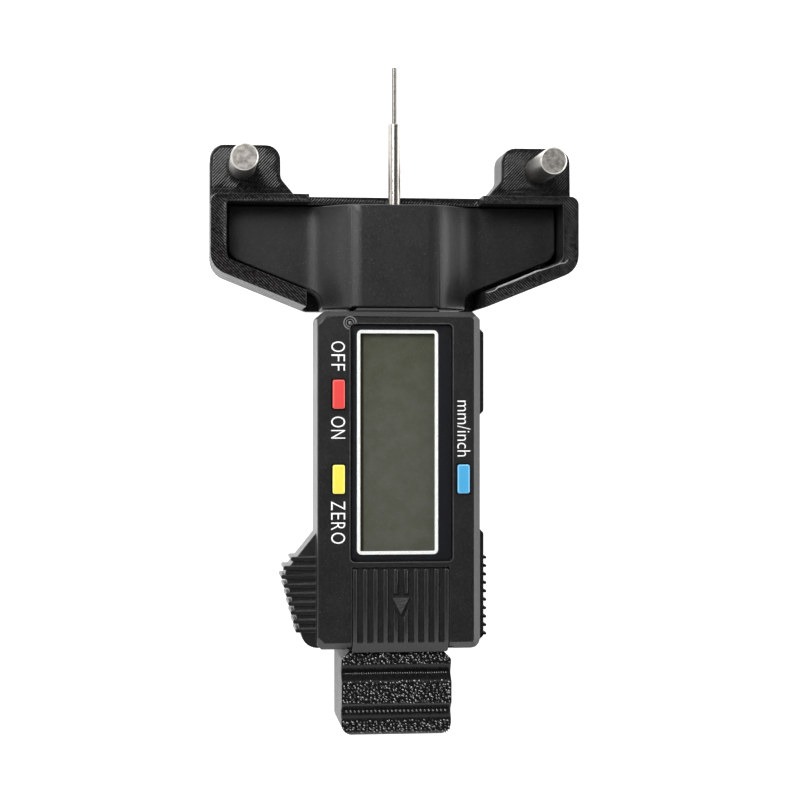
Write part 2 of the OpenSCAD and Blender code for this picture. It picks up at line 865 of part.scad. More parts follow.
// Black print behind the lens, round the white line
module lens_mask() {
    color("#101012")
    difference() {
        slab(box_corners(lens_lo + [snug, snug], lens_hi - [snug, snug], lens_r),
            lens_z - mask_t + mask_gap, lens_z);
        slab(box_corners(line_lo, line_hi, line_r), lens_z - over, lens_z + over);
    }
}

// White printed line round the display
module display_line() {
    color("#f4f4f2")
    difference() {
        slab(box_corners(line_lo, line_hi, line_r), lens_z - mask_t + mask_gap, lens_z);
        slab(box_corners(view_lo, view_hi, view_r), lens_z - over, lens_z + over);
    }
}

// Liquid crystal display
module display() {
    color("#565d4c")
    slab(box_corners(view_lo - [lcd_rim, lcd_rim], view_hi + [lcd_rim, lcd_rim]),
        face_back - lcd_t, face_back);
}

// Rubber contact strips between the circuit board and the display
module contact_strips() {
    color("#c8c4ba")
    for (x = [view_lo.x, view_hi.x - strip_w])
        slab(box_corners([x, view_lo.y + strip_ends[0]], [x + strip_w, view_hi.y - strip_ends[1]]),
            board_z, face_back - lcd_t);
}

// Circuit board that reads the scale
module circuit_board() {
    color("#2f6a44")
    difference() {
        slab(box_corners(board_lo, board_hi, board_r), parting_z, board_z);
        for (x = board_screw_x, y = board_screw_y)
            post([x, y], board_screw_r + 2 * snug, parting_z - over, board_z + over);
    }
}

// Screws that hold the board on the rear shell
module board_screws() {
    color("#9a9a9c")
    for (x = board_screw_x, y = board_screw_y) {
        post([x, y], board_head_r, board_z, board_z + board_head_t);
        post([x, y], board_screw_r, parting_z - board_pilot_l + 4 * snug, board_z + board_head_t);
    }
}

// Moulded drop over the measuring chip
module controller_chip() {
    low = sin(chip_edge);
    color("#17171a")
    translate([0, (view_lo.y + view_hi.y) / 2, board_z])
        rotate_extrude()
            polygon([
                [0, 0], [chip_r, 0],
                for (a = [chip_edge:(90 - chip_edge) / arc_steps:90])
                    [chip_r * cos(a) / cos(chip_edge), chip_foot + chip_h * (sin(a) - low) / (1 - low)]
            ]);
}

// Push switches under the buttons
module switches() {
    half = [switch_w, switch_w] / 2;
    color("#b9b9bc")
    for (at = button_at) {
        slab(box_corners(at - half, at + half, switch_r), board_z, board_z + switch_t);
        post(at, plunger_r, board_z, plunger_z);
    }
}

// Button cell
module battery() {
    r = cell_d / 2;
    edge = 0.4;
    color("#c9c9c6")
    translate([cell_x, cell_y, cell_z])
        rotate_extrude()
            polygon([
                [0, 0], [r - 1.4, 0], [r - 1.2, 0.3], [r - edge, 0.3], [r, edge + 0.3],
                [r, cell_t - edge], [r - edge, cell_t], [0, cell_t]
            ]);
}

// Spring leaf at the cell's side
module contact_plus() {
    color("#c2a35a")
    translate([cell_x - bay_r - side_leaf[0] - leaf_gap, cell_y - side_leaf[1] / 2, board_z])
        cube([side_leaf[0], side_leaf[1], face_back - board_z - leaf_slit_gap]);
}

// Leaf under the cell, with its leg to the circuit board
module contact_minus() {
    color("#c2a35a")
    union() {
        post([cell_x, cell_y], 3.2, cell_z - leaf_t, cell_z);
        translate([cell_x - leg_w / 2, leg_y, board_z])
            cube([leg_w, leg_t, cell_z - board_z - leaf_t / 2]);
    }
}

// Cap, retaining flange and stem of one button
module button(at) {
    half = [button_w, button_l] / 2;
    out = [flange_out, flange_out];
    corners = [at - half, [at.x + half.x, at.y - half.y], at + half, [at.x - half.x, at.y + half.y]];
    difference() {
        slab(box_corners(at - half, at + half, button_r), face_back - over, shell_front + button_rise);
        for (i = [0:3])
            edge_bevel(corners[i], corners[(i + 1) % 4], shell_front + button_rise,
                button_bevel, button_bevel);
    }
    slab(box_corners(at - half - out, at + half + out, button_r), flange_z - flange_t, flange_z);
    post(at, plunger_r, plunger_z + button_travel + plunger_gap, flange_z);
}

// Red power button
module power_button() {
    color("#e04848")
    button(button_at[0]);
}

// Yellow zero button
module zero_button() {
    color("#f5dd45")
    button(button_at[1]);
}

// Blue unit button
module unit_button() {
    color("#3a9fe0")
    button(button_at[2]);
}

// Ribbed cover that slides off over the lower end, with a raised arrow
module battery_cover() {
    top = slide_bottom + cover_l;
    low = slide_bottom - cover_lip;
    front = shell_front + cover_rise;
    base = cover_z + cover_base_t;
    left = cover_x - cover_w / 2;
    right = cover_x + cover_w / 2;
    lip_z = front - cover_lip_drop;
    half_rib = cover_rib_w / 2;
    color("#222223")
    difference() {
        union() {
            difference() {
                slab(box_corners([left, low], [right, top], cover_r), cover_z, lip_z);
                slab(box_corners([left - over, low + cover_lip_l], [right + over, top + over]), base, front);
            }
            slab(box_corners([left - rail_out, low + rail_start], [right + rail_out, top - rail_end]),
                cover_z, cover_z + rail_t);
            difference() {
                for (i = [0:cover_ribs - 1])
                    slab(box_corners([left + i * cover_pitch, low + cover_lip_l - half_rib],
                        [left + i * cover_pitch + cover_rib_w, top - cover_rib_end], half_rib - snug),
                        base - rail_gap, front);
                slab(arrow(arrow_gap, arrow_gap), base, front + over);
            }
            slab(arrow(0, arrow_r), base - rail_gap, front - arrow_drop);
        }
        edge_bevel([left, low], [right, low], lip_z, cover_lip_bevel[0], cover_lip_bevel[1]);
    }
}

// Profile of the block in [distance from its upper end, height], with three bands and two grooves
block_profile = [
    [0, 0, block_back_r],
    [0, block_z - block_step, block_front_r],
    [groove_up - groove_step, block_z - block_step, band_edge_r],
    [groove_up, block_z - groove_step, groove_r],
    [groove_up + block_flank, block_z, band_edge_r],
    [groove_low - block_flank, block_z, band_edge_r],
    [groove_low, block_z - groove_step, groove_r],
    [groove_low + block_flank, block_z - block_step, band_edge_r],
    [block_l, block_z - block_step, block_front_r],
    [block_l, 0, block_back_r]
];

// Printed block that the thumb pushes, a sleeve round the beam's tail
module thumb_block() {
    half = block_w / 2;
    tongue_lo = [-shell_left + tongue_inset, slide_bottom + tongue_inset];
    tongue_hi = [shell_right - tongue_inset, tongue_top];
    color("#1c1c1d")
    difference() {
        union() {
            intersection() {
                translate([-half, block_top, 0])
                    rotate([90, 0, 90])
                        linear_extrude(block_w)
                            polygon([for (p = rounded(block_profile)) [-p.x, p.y]]);
                slab([
                    [-half, block_bottom, block_r], [half, block_bottom, block_r],
                    [half, block_top - block_cut, block_cut_r], [half - block_cut, block_top, block_cut_r],
                    [-half + block_cut, block_top, block_cut_r], [-half, block_top - block_cut, block_cut_r]
                ], 0, block_z);
            }
            slab(box_corners(tongue_lo, tongue_hi, tongue_r), 0, floor_t);
            slab(box_corners([-half + block_cut, block_top - tongue_join],
                [half - block_cut, tongue_top - tongue_r]), 0, floor_t);
        }
        slab(box_corners([-beam_w / 2 - sleeve_gap, beam_bottom - sleeve_end],
            [beam_w / 2 + sleeve_gap, block_top + over]), beam_z - sleeve_gap, beam_z + beam_t + sleeve_gap);
        translate([-half - over, block_top, floor_t])
            cube([block_w + 2 * over, over, block_z]);
        for (x = [post_left, post_right]) {
            post([x, post_low], screw_hole_r, -over, floor_t + over);
            post([x, post_low], screw_sink_r, -over, screw_sunk + screw_head_t);
        }
    }
}

// The two lower screws, which also hold the thumb block
module block_screws() {
    color("#77777a")
    for (x = [post_left, post_right])
        screw([x, post_low], screw_sunk, parting_z - screw_sunk + screw_reach);
}

holder();
belt_pins();
crossbar();
beam();
beam_pins();
stop_pin();
scale_strip();
front_shell();
rear_shell();
shell_screws();
wear_strip();
probe_rod();
probe_tip();
lens();
lens_mask();
display_line();
display();
contact_strips();
circuit_board();
board_screws();
controller_chip();
switches();
battery();
contact_plus();
contact_minus();
thumb_block();
block_screws();
power_button();
zero_button();
unit_button();
battery_cover();
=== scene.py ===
"""Belt tension gauge: a digital depth slide in a printed holder, dressed for a photograph."""

import logging
import math
import random
from collections.abc import Callable, Iterable, Mapping
from dataclasses import dataclass
from enum import Enum

import bmesh
import bpy
from mathutils import Matrix, Vector
from mathutils.bvhtree import BVHTree


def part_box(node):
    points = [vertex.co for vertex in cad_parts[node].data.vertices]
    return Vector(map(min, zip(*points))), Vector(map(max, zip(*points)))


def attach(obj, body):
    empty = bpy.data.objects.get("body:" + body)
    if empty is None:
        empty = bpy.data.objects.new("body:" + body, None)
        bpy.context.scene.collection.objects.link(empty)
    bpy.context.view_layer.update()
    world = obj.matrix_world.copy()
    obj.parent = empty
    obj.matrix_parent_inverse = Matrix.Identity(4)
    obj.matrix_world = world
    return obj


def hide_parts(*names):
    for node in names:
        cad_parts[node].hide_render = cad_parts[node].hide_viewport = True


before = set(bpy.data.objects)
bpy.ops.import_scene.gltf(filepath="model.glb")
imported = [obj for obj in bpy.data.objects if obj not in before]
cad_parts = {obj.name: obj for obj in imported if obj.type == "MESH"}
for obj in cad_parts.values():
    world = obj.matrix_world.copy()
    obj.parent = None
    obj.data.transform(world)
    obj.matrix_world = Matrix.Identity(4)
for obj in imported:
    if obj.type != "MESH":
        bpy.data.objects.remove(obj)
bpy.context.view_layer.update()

log = logging.getLogger("gauge")

Pair = tuple[float, float]
Triple = tuple[float, float, float]
Colour = Triple
Test = Callable[[Vector], bool]

MM = 0.001
EVEN = (1.0, 1.0, 1.0)
# How near vertices are merged, how flat a face's edge is dissolved, and how near a cut snaps.
MERGE_MM = 0.0005
FLAT_DEGREES = 0.8
CUT_MM = 0.00002
LOOK_FROM_MM = 50.0
# What several pieces share: the housing's face, the printed film on it, and the printed beads.
FACE_Z = 20.5
FILM_MM = 0.03
BEAD_MM = 0.4
EAR_LEAN = 47.0
RIM_LEAN = -45.0


def grey(level: float) -> Colour:
    """A colour with that level in all three parts."""
    return (level, level, level)


def anywhere(_point: Vector) -> bool:
    """A test that every point passes."""
    return True


# ---------------------------------------------------------------- shader drafting


class Signal:
    """One number or colour on its way through a material, ready for plain arithmetic."""

    def __init__(self, draft: "Draft", socket: bpy.types.NodeSocket) -> None:
        """Wraps the output of a node in a draft."""
        self.draft = draft
        self.socket = socket

    def _maths(self, operation: str, *others: "Signal | float") -> "Signal":
        """Adds a Math node of that operation, fed by this signal and the others."""
        operands = dict(enumerate((self, *others)))
        return self.draft.node("ShaderNodeMath", {"operation": operation}, operands)

    def __add__(self, other: "Signal | float") -> "Signal":
        """Sum."""
        return self._maths("ADD", other)

    __radd__ = __add__

    def __sub__(self, other: "Signal | float") -> "Signal":
        """Difference."""
        return self._maths("SUBTRACT", other)

    def __rsub__(self, other: float) -> "Signal":
        """Difference with the number first."""
        return self._maths("MULTIPLY_ADD", -1.0, other)

    def __mul__(self, other: "Signal | float") -> "Signal":
        """Product."""
        return self._maths("MULTIPLY", other)

    __rmul__ = __mul__

    def __pow__(self, other: float) -> "Signal":
        """Power."""
        return self._maths("POWER", other)

    def __abs__(self) -> "Signal":
        """Size without its sign."""
        return self._maths("ABSOLUTE")

    def lowest(self, other: "Signal | float") -> "Signal":
        """The smaller of two."""
        return self._maths("MINIMUM", other)

    def root(self) -> "Signal":
        """Square root."""
        return self._maths("SQRT")

    def ripple(self, pitch: float) -> "Signal":
        """A smooth wave from 0 to 1 along this value, with one crest to each pitch."""
        return (self * (math.tau / pitch))._maths("SINE") * 0.5 + 0.5

    def beads(self, pitch: float, bulge: float = 0.6) -> "Signal":
        """Round beads side by side, a pitch wide each: 0 in the seams and 1 on the crests."""
        return abs((self * (math.pi / pitch))._maths("SINE")) ** bulge

    def fade(self, low: float, high: float) -> "Signal":
        """Makes a soft step.

        Args:
            low: where the step starts at 0.
            high: where it ends at 1.

        Returns:
            The step's height.
        """
        settings = {"interpolation_type": "SMOOTHSTEP"}
        values = {"Value": self, "From Min": low, "From Max": high}
        return self.draft.node("ShaderNodeMapRange", settings, values)


class Draft:
    """A material or a sky while its nodes are being put together."""

    def __init__(self, owner: bpy.types.Material | bpy.types.World) -> None:
        """Starts with no nodes.

        Args:
            owner: the material or the sky.
        """
        owner.use_nodes = True
        self.tree = owner.node_tree
        self.tree.nodes.clear()

    def node(
        self,
        kind: str,
        settings: Mapping[str, object] | None = None,
        values: Mapping[str | int, object] | None = None,
        output: str | int = 0,
    ) -> Signal:
        """Adds one node.

        Args:
            kind: the node's type.
            settings: its properties.
            values: a number, colour or signal for each of its sockets.
            output: which of its outputs to return.

        Returns:
            That output.
        """
        made = self.tree.nodes.new(kind)
        for key, value in (settings or {}).items():
            setattr(made, key, value)
        for key, value in (values or {}).items():
            socket = made.inputs[key]
            if isinstance(value, Signal):
                self.tree.links.new(value.socket, socket)
            elif isinstance(value, tuple) and socket.type == "RGBA":
                socket.default_value = (*value, 1.0)
            else:
                socket.default_value = value
        return Signal(self, made.outputs[output])

    def split(self, vector: Signal) -> tuple[Signal, Signal, Signal]:
        """The three parts of a vector."""
        outputs = self.node("ShaderNodeSeparateXYZ", values={0: vector}).socket.node.outputs
        return tuple(Signal(self, output) for output in outputs)

    def place(self) -> tuple[Signal, Signal, Signal]:
        """The surface point's place on the piece, in millimetres."""
        return self.split(self.scaled(1.0 / MM))

    def facing(self) -> tuple[Signal, Signal, Signal]:
        """The parts of the surface's direction on the piece."""
        return self.split(self.node("ShaderNodeTexCoord", output="Normal"))

    def scaled(self, factor: float, stretch: Triple = EVEN) -> Signal:
        """Makes Object coordinates larger.

        Args:
            factor: the common factor.
            stretch: a further factor for each axis.

        Returns:
            The scaled coordinates.
        """
        where = self.node("ShaderNodeTexCoord", output="Object")
        values = {0: where, 1: tuple(factor * s for s in stretch)}
        return self.node("ShaderNodeVectorMath", {"operation": "MULTIPLY"}, values)

    def grain(
        self, size_mm: float, detail: float = 2.0, stretch: Triple = EVEN, roughness: float = 0.5
    ) -> Signal:
        """Makes soft random variation.

        Args:
            size_mm: the size of its spots.
            detail: how many finer layers it has.
            stretch: how much denser it is along each axis.
            roughness: how strong the finer layers are.

        Returns:
            A value around 0.5.
        """
        values = {
            "Vector": self.scaled(1.0 / (MM * size_mm), stretch),
            "Scale": 1.0,
            "Detail": detail,
            "Roughness": roughness,
        }
        return self.node("ShaderNodeTexNoise", {"noise_dimensions": "3D"}, values)

    def blend(
        self, share: Signal | float, first: Signal | Colour, second: Signal | Colour
    ) -> Signal:
        """A colour between two: the first at a share of 0, the second at 1."""
        values = {0: share, 6: first, 7: second}
        return self.node("ShaderNodeMix", {"data_type": "RGBA"}, values, 2)

    def bump(self, height: Signal, depth_mm: float) -> Signal:
        """The surface's direction with a relief, which is 0 to 1 high at that depth."""
        values = {"Strength": 1.0, "Distance": depth_mm * MM, "Height": height}
        return self.node("ShaderNodeBump", values=values)

    def surface(self, **values: object) -> Signal:
        """A Principled shader with the given sockets, whose names have _ for spaces."""
        named = {key.replace("_", " "): value for key, value in values.items()}
        return self.node("ShaderNodeBsdfPrincipled", values=named)

    def finish(self, shader: Signal, kind: str = "ShaderNodeOutputMaterial") -> None:
        """Joins the shader to an output of the given kind."""
        end = self.tree.nodes.new(kind)
        self.tree.links.new(shader.socket, end.inputs["Surface"])


# ---------------------------------------------------------------- finishes


@dataclass(frozen=True)
class Finish:
    """What every finish shares: a name, and a material that is made once."""

    name: str

    def material(self) -> bpy.types.Material:
        """Gives the finish's material, and makes it at its first use.

        Returns:
            The material.
        """
        made = bpy.data.materials.get(self.name)
        if made is None:
            made = bpy.data.materials.new(self.name)
            draft = Draft(made)
            draft.finish(self.shader(draft))
        return made

    def shader(self, draft: Draft) -> Signal:
        """Puts the finish's nodes into the draft and returns its shader."""
        raise NotImplementedError


@dataclass(frozen=True)
class PrintedPlastic(Finish):
    """Black filament: layers on its sides, a waver everywhere, and painted highlights along the
    beads' crests on top.
    """

    base: Colour = grey(0.0035)
    shine: Colour = (0.011, 0.0105, 0.0105)
    depth_mm: float = 0.03
    least_rough: float = 0.04
    sheen: float = 0.34
    index: float = 1.5
    layer_mm: float = 0.2
    side_up: Pair = (0.5, 0.8)
    side_rough: float = 0.16
    waver_mm: float = 0.5
    waver_relief: float = 0.2
    waver_rough: float = 0.2
    waver_cut: Pair = (0.35, 0.75)
    waver_share: float = 0.7
    cloud_mm: float = 2.5
    cloud_rough: float = 0.1
    cloud_share: float = 0.3
    ear_crest: float = 0.72
    rim_crest: float = 0.55
    full_crest: float = 0.97
    rim_z: Pair = (17.5, 17.6)
    level_up: Pair = (0.72, 0.8)
    beaded_y: Pair = (-40.0, -39.0)
    # The grain that breaks the painted crest highlights here and there.
    break_mm: float = 0.6
    break_cut: Pair = (0.36, 0.6)
    # A paler colour laid along the crests: painted highlight standing in for their glints.
    crest_highlight: Colour = (0.06, 0.059, 0.058)

    def shader(self, draft: Draft) -> Signal:
        """Drafts the finish.

        Args:
            draft: the material being drafted.

        Returns:
            Its shader.
        """
        _, _, z = draft.place()
        _, _, up = draft.facing()
        side = 1.0 - abs(up).fade(*self.side_up)
        waver = draft.grain(self.waver_mm, 3.0, roughness=0.7)
        cloud = draft.grain(self.cloud_mm)
        height = z.beads(self.layer_mm) * side + waver * self.waver_relief
        rough = waver * self.waver_rough + cloud * self.cloud_rough + side * self.side_rough
        share = waver.fade(*self.waver_cut) * self.waver_share + cloud * self.cloud_share
        colour = draft.blend(share, self.base, self.shine)
        return draft.surface(
            # The beads' crests take a paler colour: painted highlight.
            Base_Color=draft.blend(self.crest_highlights(draft), colour, self.crest_highlight),
            Roughness=rough + self.least_rough,
            Normal=draft.bump(height, self.depth_mm),
            Specular_IOR_Level=self.sheen,
            IOR=self.index,
        )

    def crest_highlights(self, draft: Draft) -> Signal:
        """Finds the beads' crests on level faces, where a painted highlight lies, broken here and
        there.

        Args:
            draft: the material being drafted.

        Returns:
            1 on a crest, otherwise 0.
        """
        x, y, z = draft.place()
        _, _, up = draft.facing()
        lines = []
        for lean, start in ((EAR_LEAN, self.ear_crest), (RIM_LEAN, self.rim_crest)):
            turn = math.radians(lean)
            across = y * math.cos(turn) - x * math.sin(turn)
            ripple = (across - BEAD_MM / 2.0).ripple(BEAD_MM)
            lines.append(ripple.fade(start, self.full_crest))
        high = z.fade(*self.rim_z)
        line = lines[0] * (1.0 - high) + lines[1] * high
        level = up.fade(*self.level_up) * y.fade(*self.beaded_y)
        return line * level * draft.grain(self.break_mm).fade(*self.break_cut)


@dataclass(frozen=True)
class MouldedPlastic(Finish):
    """Moulded black plastic with a spark-eroded grain and a little dust."""

    base: Colour
    shine: Colour
    grain_mm: float
    depth_mm: float
    least_rough: float
    stretch: Triple = EVEN
    sheen: float = 0.5
    grain_cut: Pair = (0.42, 0.68)
    grain_share: float = 0.6
    grain_rough: float = 0.18
    cloud_mm: float = 5.0
    cloud_share: float = 0.4
    cloud_rough: float = 0.08
    dust: Colour = grey(0.1)
    dust_mm: float = 0.26
    dust_cut: Pair = (0.7, 0.82)

    def shader(self, draft: Draft) -> Signal:
        """Drafts the finish.

        Args:
            draft: the material being drafted.

        Returns:
            Its shader.
        """
        fine = draft.grain(self.grain_mm, 3.0, self.stretch, roughness=0.65)
        cloud = draft.grain(self.cloud_mm)
        share = fine.fade(*self.grain_cut) * self.grain_share + cloud * self.cloud_share
        colour = draft.blend(share, self.base, self.shine)
        dust = draft.grain(self.dust_mm, 1.0).fade(*self.dust_cut)
        return draft.surface(
            Base_Color=draft.blend(dust, colour, self.dust),
            Roughness=fine * self.grain_rough + cloud * self.cloud_rough + self.least_rough,
            Normal=draft.bump(fine, self.depth_mm),
            Specular_IOR_Level=self.sheen,
        )


class Grain(Enum):
    """How a steel part was worked: the size, layers and stretch of its marks."""

    TURNED_PINS = (0.12, 2.0, (0.05, 0.05, 1.0))
    TURNED_ROD = (0.12, 2.0, (0.05, 1.0, 0.05))
    DRAWN = (0.1, 3.0, (1.0, 0.02, 1.0))
    PLATED = (0.3, 2.0, EVEN)


@dataclass(frozen=True)
class Steel(Finish):
    """Bare or plated steel with its working marks."""

    base: Colour
    stain: Colour
    least_rough: float
    grain: Grain = Grain.PLATED
    depth_mm: float = 0.003
    marks_rough: float = 0.14
    cloud_mm: float = 0.7
    cloud_cut: Pair = (0.15, 0.85)
    cloud_rough: float = 0.08
    pin_x: float = 28.0
    pin_y: float = 7.3
    pin_side_relief: float = 0.1
    ring_mm: float = 0.5
    ring_share: float = 0.25
    pit_mm: float = 1.1
    end_up: Pair = (0.9, 0.97)
    # The pins' ends take a darker copy of the steel's colours, painted shade that damps the lamps'
    # reflection there; the mottle between the two colours is real staining.
    end_base: Colour = (0.47, 0.44, 0.41)
    end_stain: Colour = (0.22, 0.21, 0.195)
    end_rough: float = 0.13
    mottle_mm: float = 1.0
    mottle_cut: Pair = (0.3, 0.68)
    # Near-black painted on the rod below a given Y: painted shadow where it runs in shade.
    rod_shadow: Colour = grey(0.006)
    rod_shadow_y: Pair = (-1000.0, -999.0)

    def end_face(self, draft: Draft) -> Signal:
        """1 on the ends of the upright pins, otherwise 0."""
        _, _, up = draft.facing()
        return up.fade(*self.end_up)

    def marks(self, draft: Draft) -> Signal:
        """Drafts the working marks.

        Args:
            draft: the material being drafted.

        Returns:
            Their relief from 0 to 1.
        """
        worked = draft.grain(*self.grain.value)
        if self.grain is not Grain.TURNED_PINS:
            return worked
        x, y, _ = draft.place()
        across, along = abs(x) - self.pin_x, y - self.pin_y
        rings = (across * across + along * along).root().ripple(self.ring_mm)
        ground = rings * self.ring_share + draft.grain(self.pit_mm) * (1.0 - self.ring_share)
        end = self.end_face(draft)
        return ground * end + worked * (1.0 - end) * self.pin_side_relief

    def shader(self, draft: Draft) -> Signal:
        """Drafts the finish.

        Args:
            draft: the material being drafted.

        Returns:
            Its shader.
        """
        marks = self.marks(draft)
        cloud = draft.grain(self.cloud_mm, 4.0, roughness=0.65)
        colour = draft.blend(cloud.fade(*self.cloud_cut), self.base, self.stain)
        rough = marks * self.marks_rough + cloud * self.cloud_rough + self.least_rough
        # Darker colours on the pins' ends: painted shade; the mottle on them is staining.
        if self.grain is Grain.TURNED_PINS:
            end = self.end_face(draft)
            mottle = draft.grain(self.mottle_mm, 3.0, roughness=0.55).fade(*self.mottle_cut)
            colour = draft.blend(end, colour, draft.blend(mottle, self.end_base, self.end_stain))
            rough = rough + end * self.end_rough
        # The rod is near-black below a given Y: painted shadow where it runs in shade through the
        # gap and the housing.
        if self.grain is Grain.TURNED_ROD:
            _, y, _ = draft.place()
            colour = draft.blend(y.fade(*self.rod_shadow_y), self.rod_shadow, colour)
        return draft.surface(
            Base_Color=colour,
            Metallic=1.0,
            Roughness=rough,
            Normal=draft.bump(marks, self.depth_mm),
        )


@dataclass(frozen=True)
class Brass(Finish):
    """Rolled spring brass."""

    base: Colour = (0.72, 0.53, 0.24)
    stain: Colour = (0.45, 0.30, 0.14)
    least_rough: float = 0.2
    marks_rough: float = 0.15
    roll_mm: float = 0.08
    roll_stretch: Triple = (1.0, 0.03, 1.0)
    dull_mm: float = 1.2
    depth_mm: float = 0.003

    def shader(self, draft: Draft) -> Signal:
        """Drafts the finish.

        Args:
            draft: the material being drafted.

        Returns:
            Its shader.
        """
        rolled = draft.grain(self.roll_mm, 2.0, self.roll_stretch)
        dull = draft.grain(self.dull_mm)
        return draft.surface(
            Base_Color=draft.blend(dull * 0.5, self.base, self.stain),
            Metallic=1.0,
            Roughness=rolled * self.marks_rough + dull * self.marks_rough + self.least_rough,
            Normal=draft.bump(rolled, self.depth_mm),
        )


@dataclass(frozen=True)
class ClearWindow(Finish):
    """Hard clear plastic: mostly seen through, with a gloss that grows at low angles."""

    tint: Colour = (0.97, 0.975, 0.97)
    least_rough: float = 0.06
    smear_mm: float = 6.0
    smear_rough: float = 0.05
    least_gloss: float = 0.04
    edge_gloss: float = 0.9
    edge_power: float = 5.0

    def shader(self, draft: Draft) -> Signal:
        """Drafts the finish.

        Args:
            draft: the material being drafted.

        Returns:
            Its shader.
        """
        gloss = draft.surface(
            Base_Color=grey(0.0),
            Roughness=draft.grain(self.smear_mm) * self.smear_rough + self.least_rough,
        )
        clear = draft.node("ShaderNodeBsdfTransparent", values={"Color": self.tint})
        tilt = draft.node("ShaderNodeLayerWeight", values={"Blend": 0.5}, output="Facing")
        share = tilt**self.edge_power * self.edge_gloss + self.least_gloss
        return draft.node("ShaderNodeMixShader", values={0: share, 1: clear, 2: gloss})


@dataclass(frozen=True)
class Ink(Finish):
    """A printed film of ink, which may glow with painted light."""

    base: Colour
    least_rough: float
    # glow: painted light, the ink shines a little as if lit from within.
    glow: float = 0.0
    faded: float = 0.86
    dot_mm: float = 0.12
    dot_cut: Pair = (0.35, 0.75)
    dot_rough: float = 0.12
    depth_mm: float = 0.002

    def shader(self, draft: Draft) -> Signal:
        """Drafts the finish.

        Args:
            draft: the material being drafted.

        Returns:
            Its shader.
        """
        dots = draft.grain(self.dot_mm)
        faded = tuple(part * self.faded for part in self.base)
        return draft.surface(
            Base_Color=draft.blend(dots.fade(*self.dot_cut), self.base, faded),
            Roughness=dots * self.dot_rough + self.least_rough,
            Normal=draft.bump(dots, self.depth_mm),
            # Emission here is painted light: the ink glows though it is no lamp.
            Emission_Color=self.base,
            Emission_Strength=self.glow,
        )


@dataclass(frozen=True)
class LiquidCrystal(Finish):
    """A display that is switched off: olive grey, with a darker strip along its left edge."""

    base: Colour = (0.122, 0.127, 0.104)
    deep: Colour = (0.083, 0.086, 0.056)
    strip: Colour = (0.045, 0.036, 0.020)
    dust: Colour = (0.24, 0.24, 0.21)
    deep_y: Pair = (-46.0, -24.0)
    strip_x: Pair = (-6.25, -5.95)
    cloud_mm: float = 3.0
    cloud_cut: Pair = (0.3, 0.7)
    cloud_rough: float = 0.1
    dust_mm: float = 0.24
    dust_cut: Pair = (0.62, 0.76)
    fine_dust_mm: float = 0.12
    fine_dust_share: float = 0.12
    least_rough: float = 0.28
    sheen: float = 0.35

    def shader(self, draft: Draft) -> Signal:
        """Drafts the finish.

        Args:
            draft: the material being drafted.

        Returns:
            Its shader.
        """
        x, y, _ = draft.place()
        cloud = draft.grain(self.cloud_mm, 4.0, roughness=0.6)
        share = cloud.fade(*self.cloud_cut) * 0.5 + y.fade(*self.deep_y) * 0.5
        colour = draft.blend(share, self.base, self.deep)
        fine_dust = draft.grain(self.fine_dust_mm, 1.0) * self.fine_dust_share
        dust = draft.grain(self.dust_mm).fade(*self.dust_cut) + fine_dust
        colour = draft.blend(dust * 0.5, colour, self.dust)
        return draft.surface(
            Base_Color=draft.blend(x.fade(*self.strip_x), self.strip, colour),
            Roughness=cloud * self.cloud_rough + self.least_rough,
            Specular_IOR_Level=self.sheen,
        )


@dataclass(frozen=True)
class SoftKey(Finish):
    """Soft-touch coloured plastic, paler here and there at random, with a painted highlight on its
    rounded rim and painted shade on its walls.
    """

    base: Colour
    pale_grain_and_highlight: Colour
    grain_mm: float = 0.15
    grain_share: float = 0.25
    # Where and how strongly the rounded rim takes a painted highlight.
    rim_up: Pair = (0.96, 0.998)
    rim_share: float = 0.85
    # Where the walls take their painted shade, and how dark it is.
    wall_up: Pair = (0.3, 0.62)
    wall_shade: float = 0.1
    grain_rough: float = 0.12
    least_rough: float = 0.42
    depth_mm: float = 0.004

    def shader(self, draft: Draft) -> Signal:
        """Drafts the finish.

        Args:
            draft: the material being drafted.

        Returns:
            Its shader.
        """
        fine = draft.grain(self.grain_mm)
        _, _, up = draft.facing()
        # A painted highlight on the sloped rim round the crown.
        rim = 1.0 - up.fade(*self.rim_up)
        share = (fine * self.grain_share + rim * self.rim_share).lowest(1.0)
        # A darker copy of the colour for the walls: painted shade.
        shade = tuple(part * self.wall_shade for part in self.base)
        colour = draft.blend(share, self.base, self.pale_grain_and_highlight)
        return draft.surface(
            Base_Color=draft.blend(up.fade(*self.wall_up), shade, colour),
            Roughness=fine * self.grain_rough + self.least_rough,
            Normal=draft.bump(fine, self.depth_mm),
        )


@dataclass(frozen=True)
class CircuitLaminate(Finish):
    """Glass-fibre laminate under a green mask, with copper bars of one pitch."""

    base: Colour = (0.02, 0.10, 0.045)
    copper: Colour = (0.05, 0.20, 0.09)
    pitch_mm: float = 1.27
    bar_cut: Pair = (0.45, 0.55)
    bar_relief: float = 0.6
    weave_mm: float = 0.3
    weave_relief: float = 0.4
    weave_rough: float = 0.15
    least_rough: float = 0.25
    depth_mm: float = 0.02

    def shader(self, draft: Draft) -> Signal:
        """Drafts the finish.

        Args:
            draft: the material being drafted.

        Returns:
            Its shader.
        """
        _, y, _ = draft.place()
        bars = y.ripple(self.pitch_mm).fade(*self.bar_cut)
        weave = draft.grain(self.weave_mm)
        height = bars * self.bar_relief + weave * self.weave_relief
        return draft.surface(
            Base_Color=draft.blend(bars, self.base, self.copper),
            Roughness=weave * self.weave_rough + self.least_rough,
            Normal=draft.bump(height, self.depth_mm),
        )


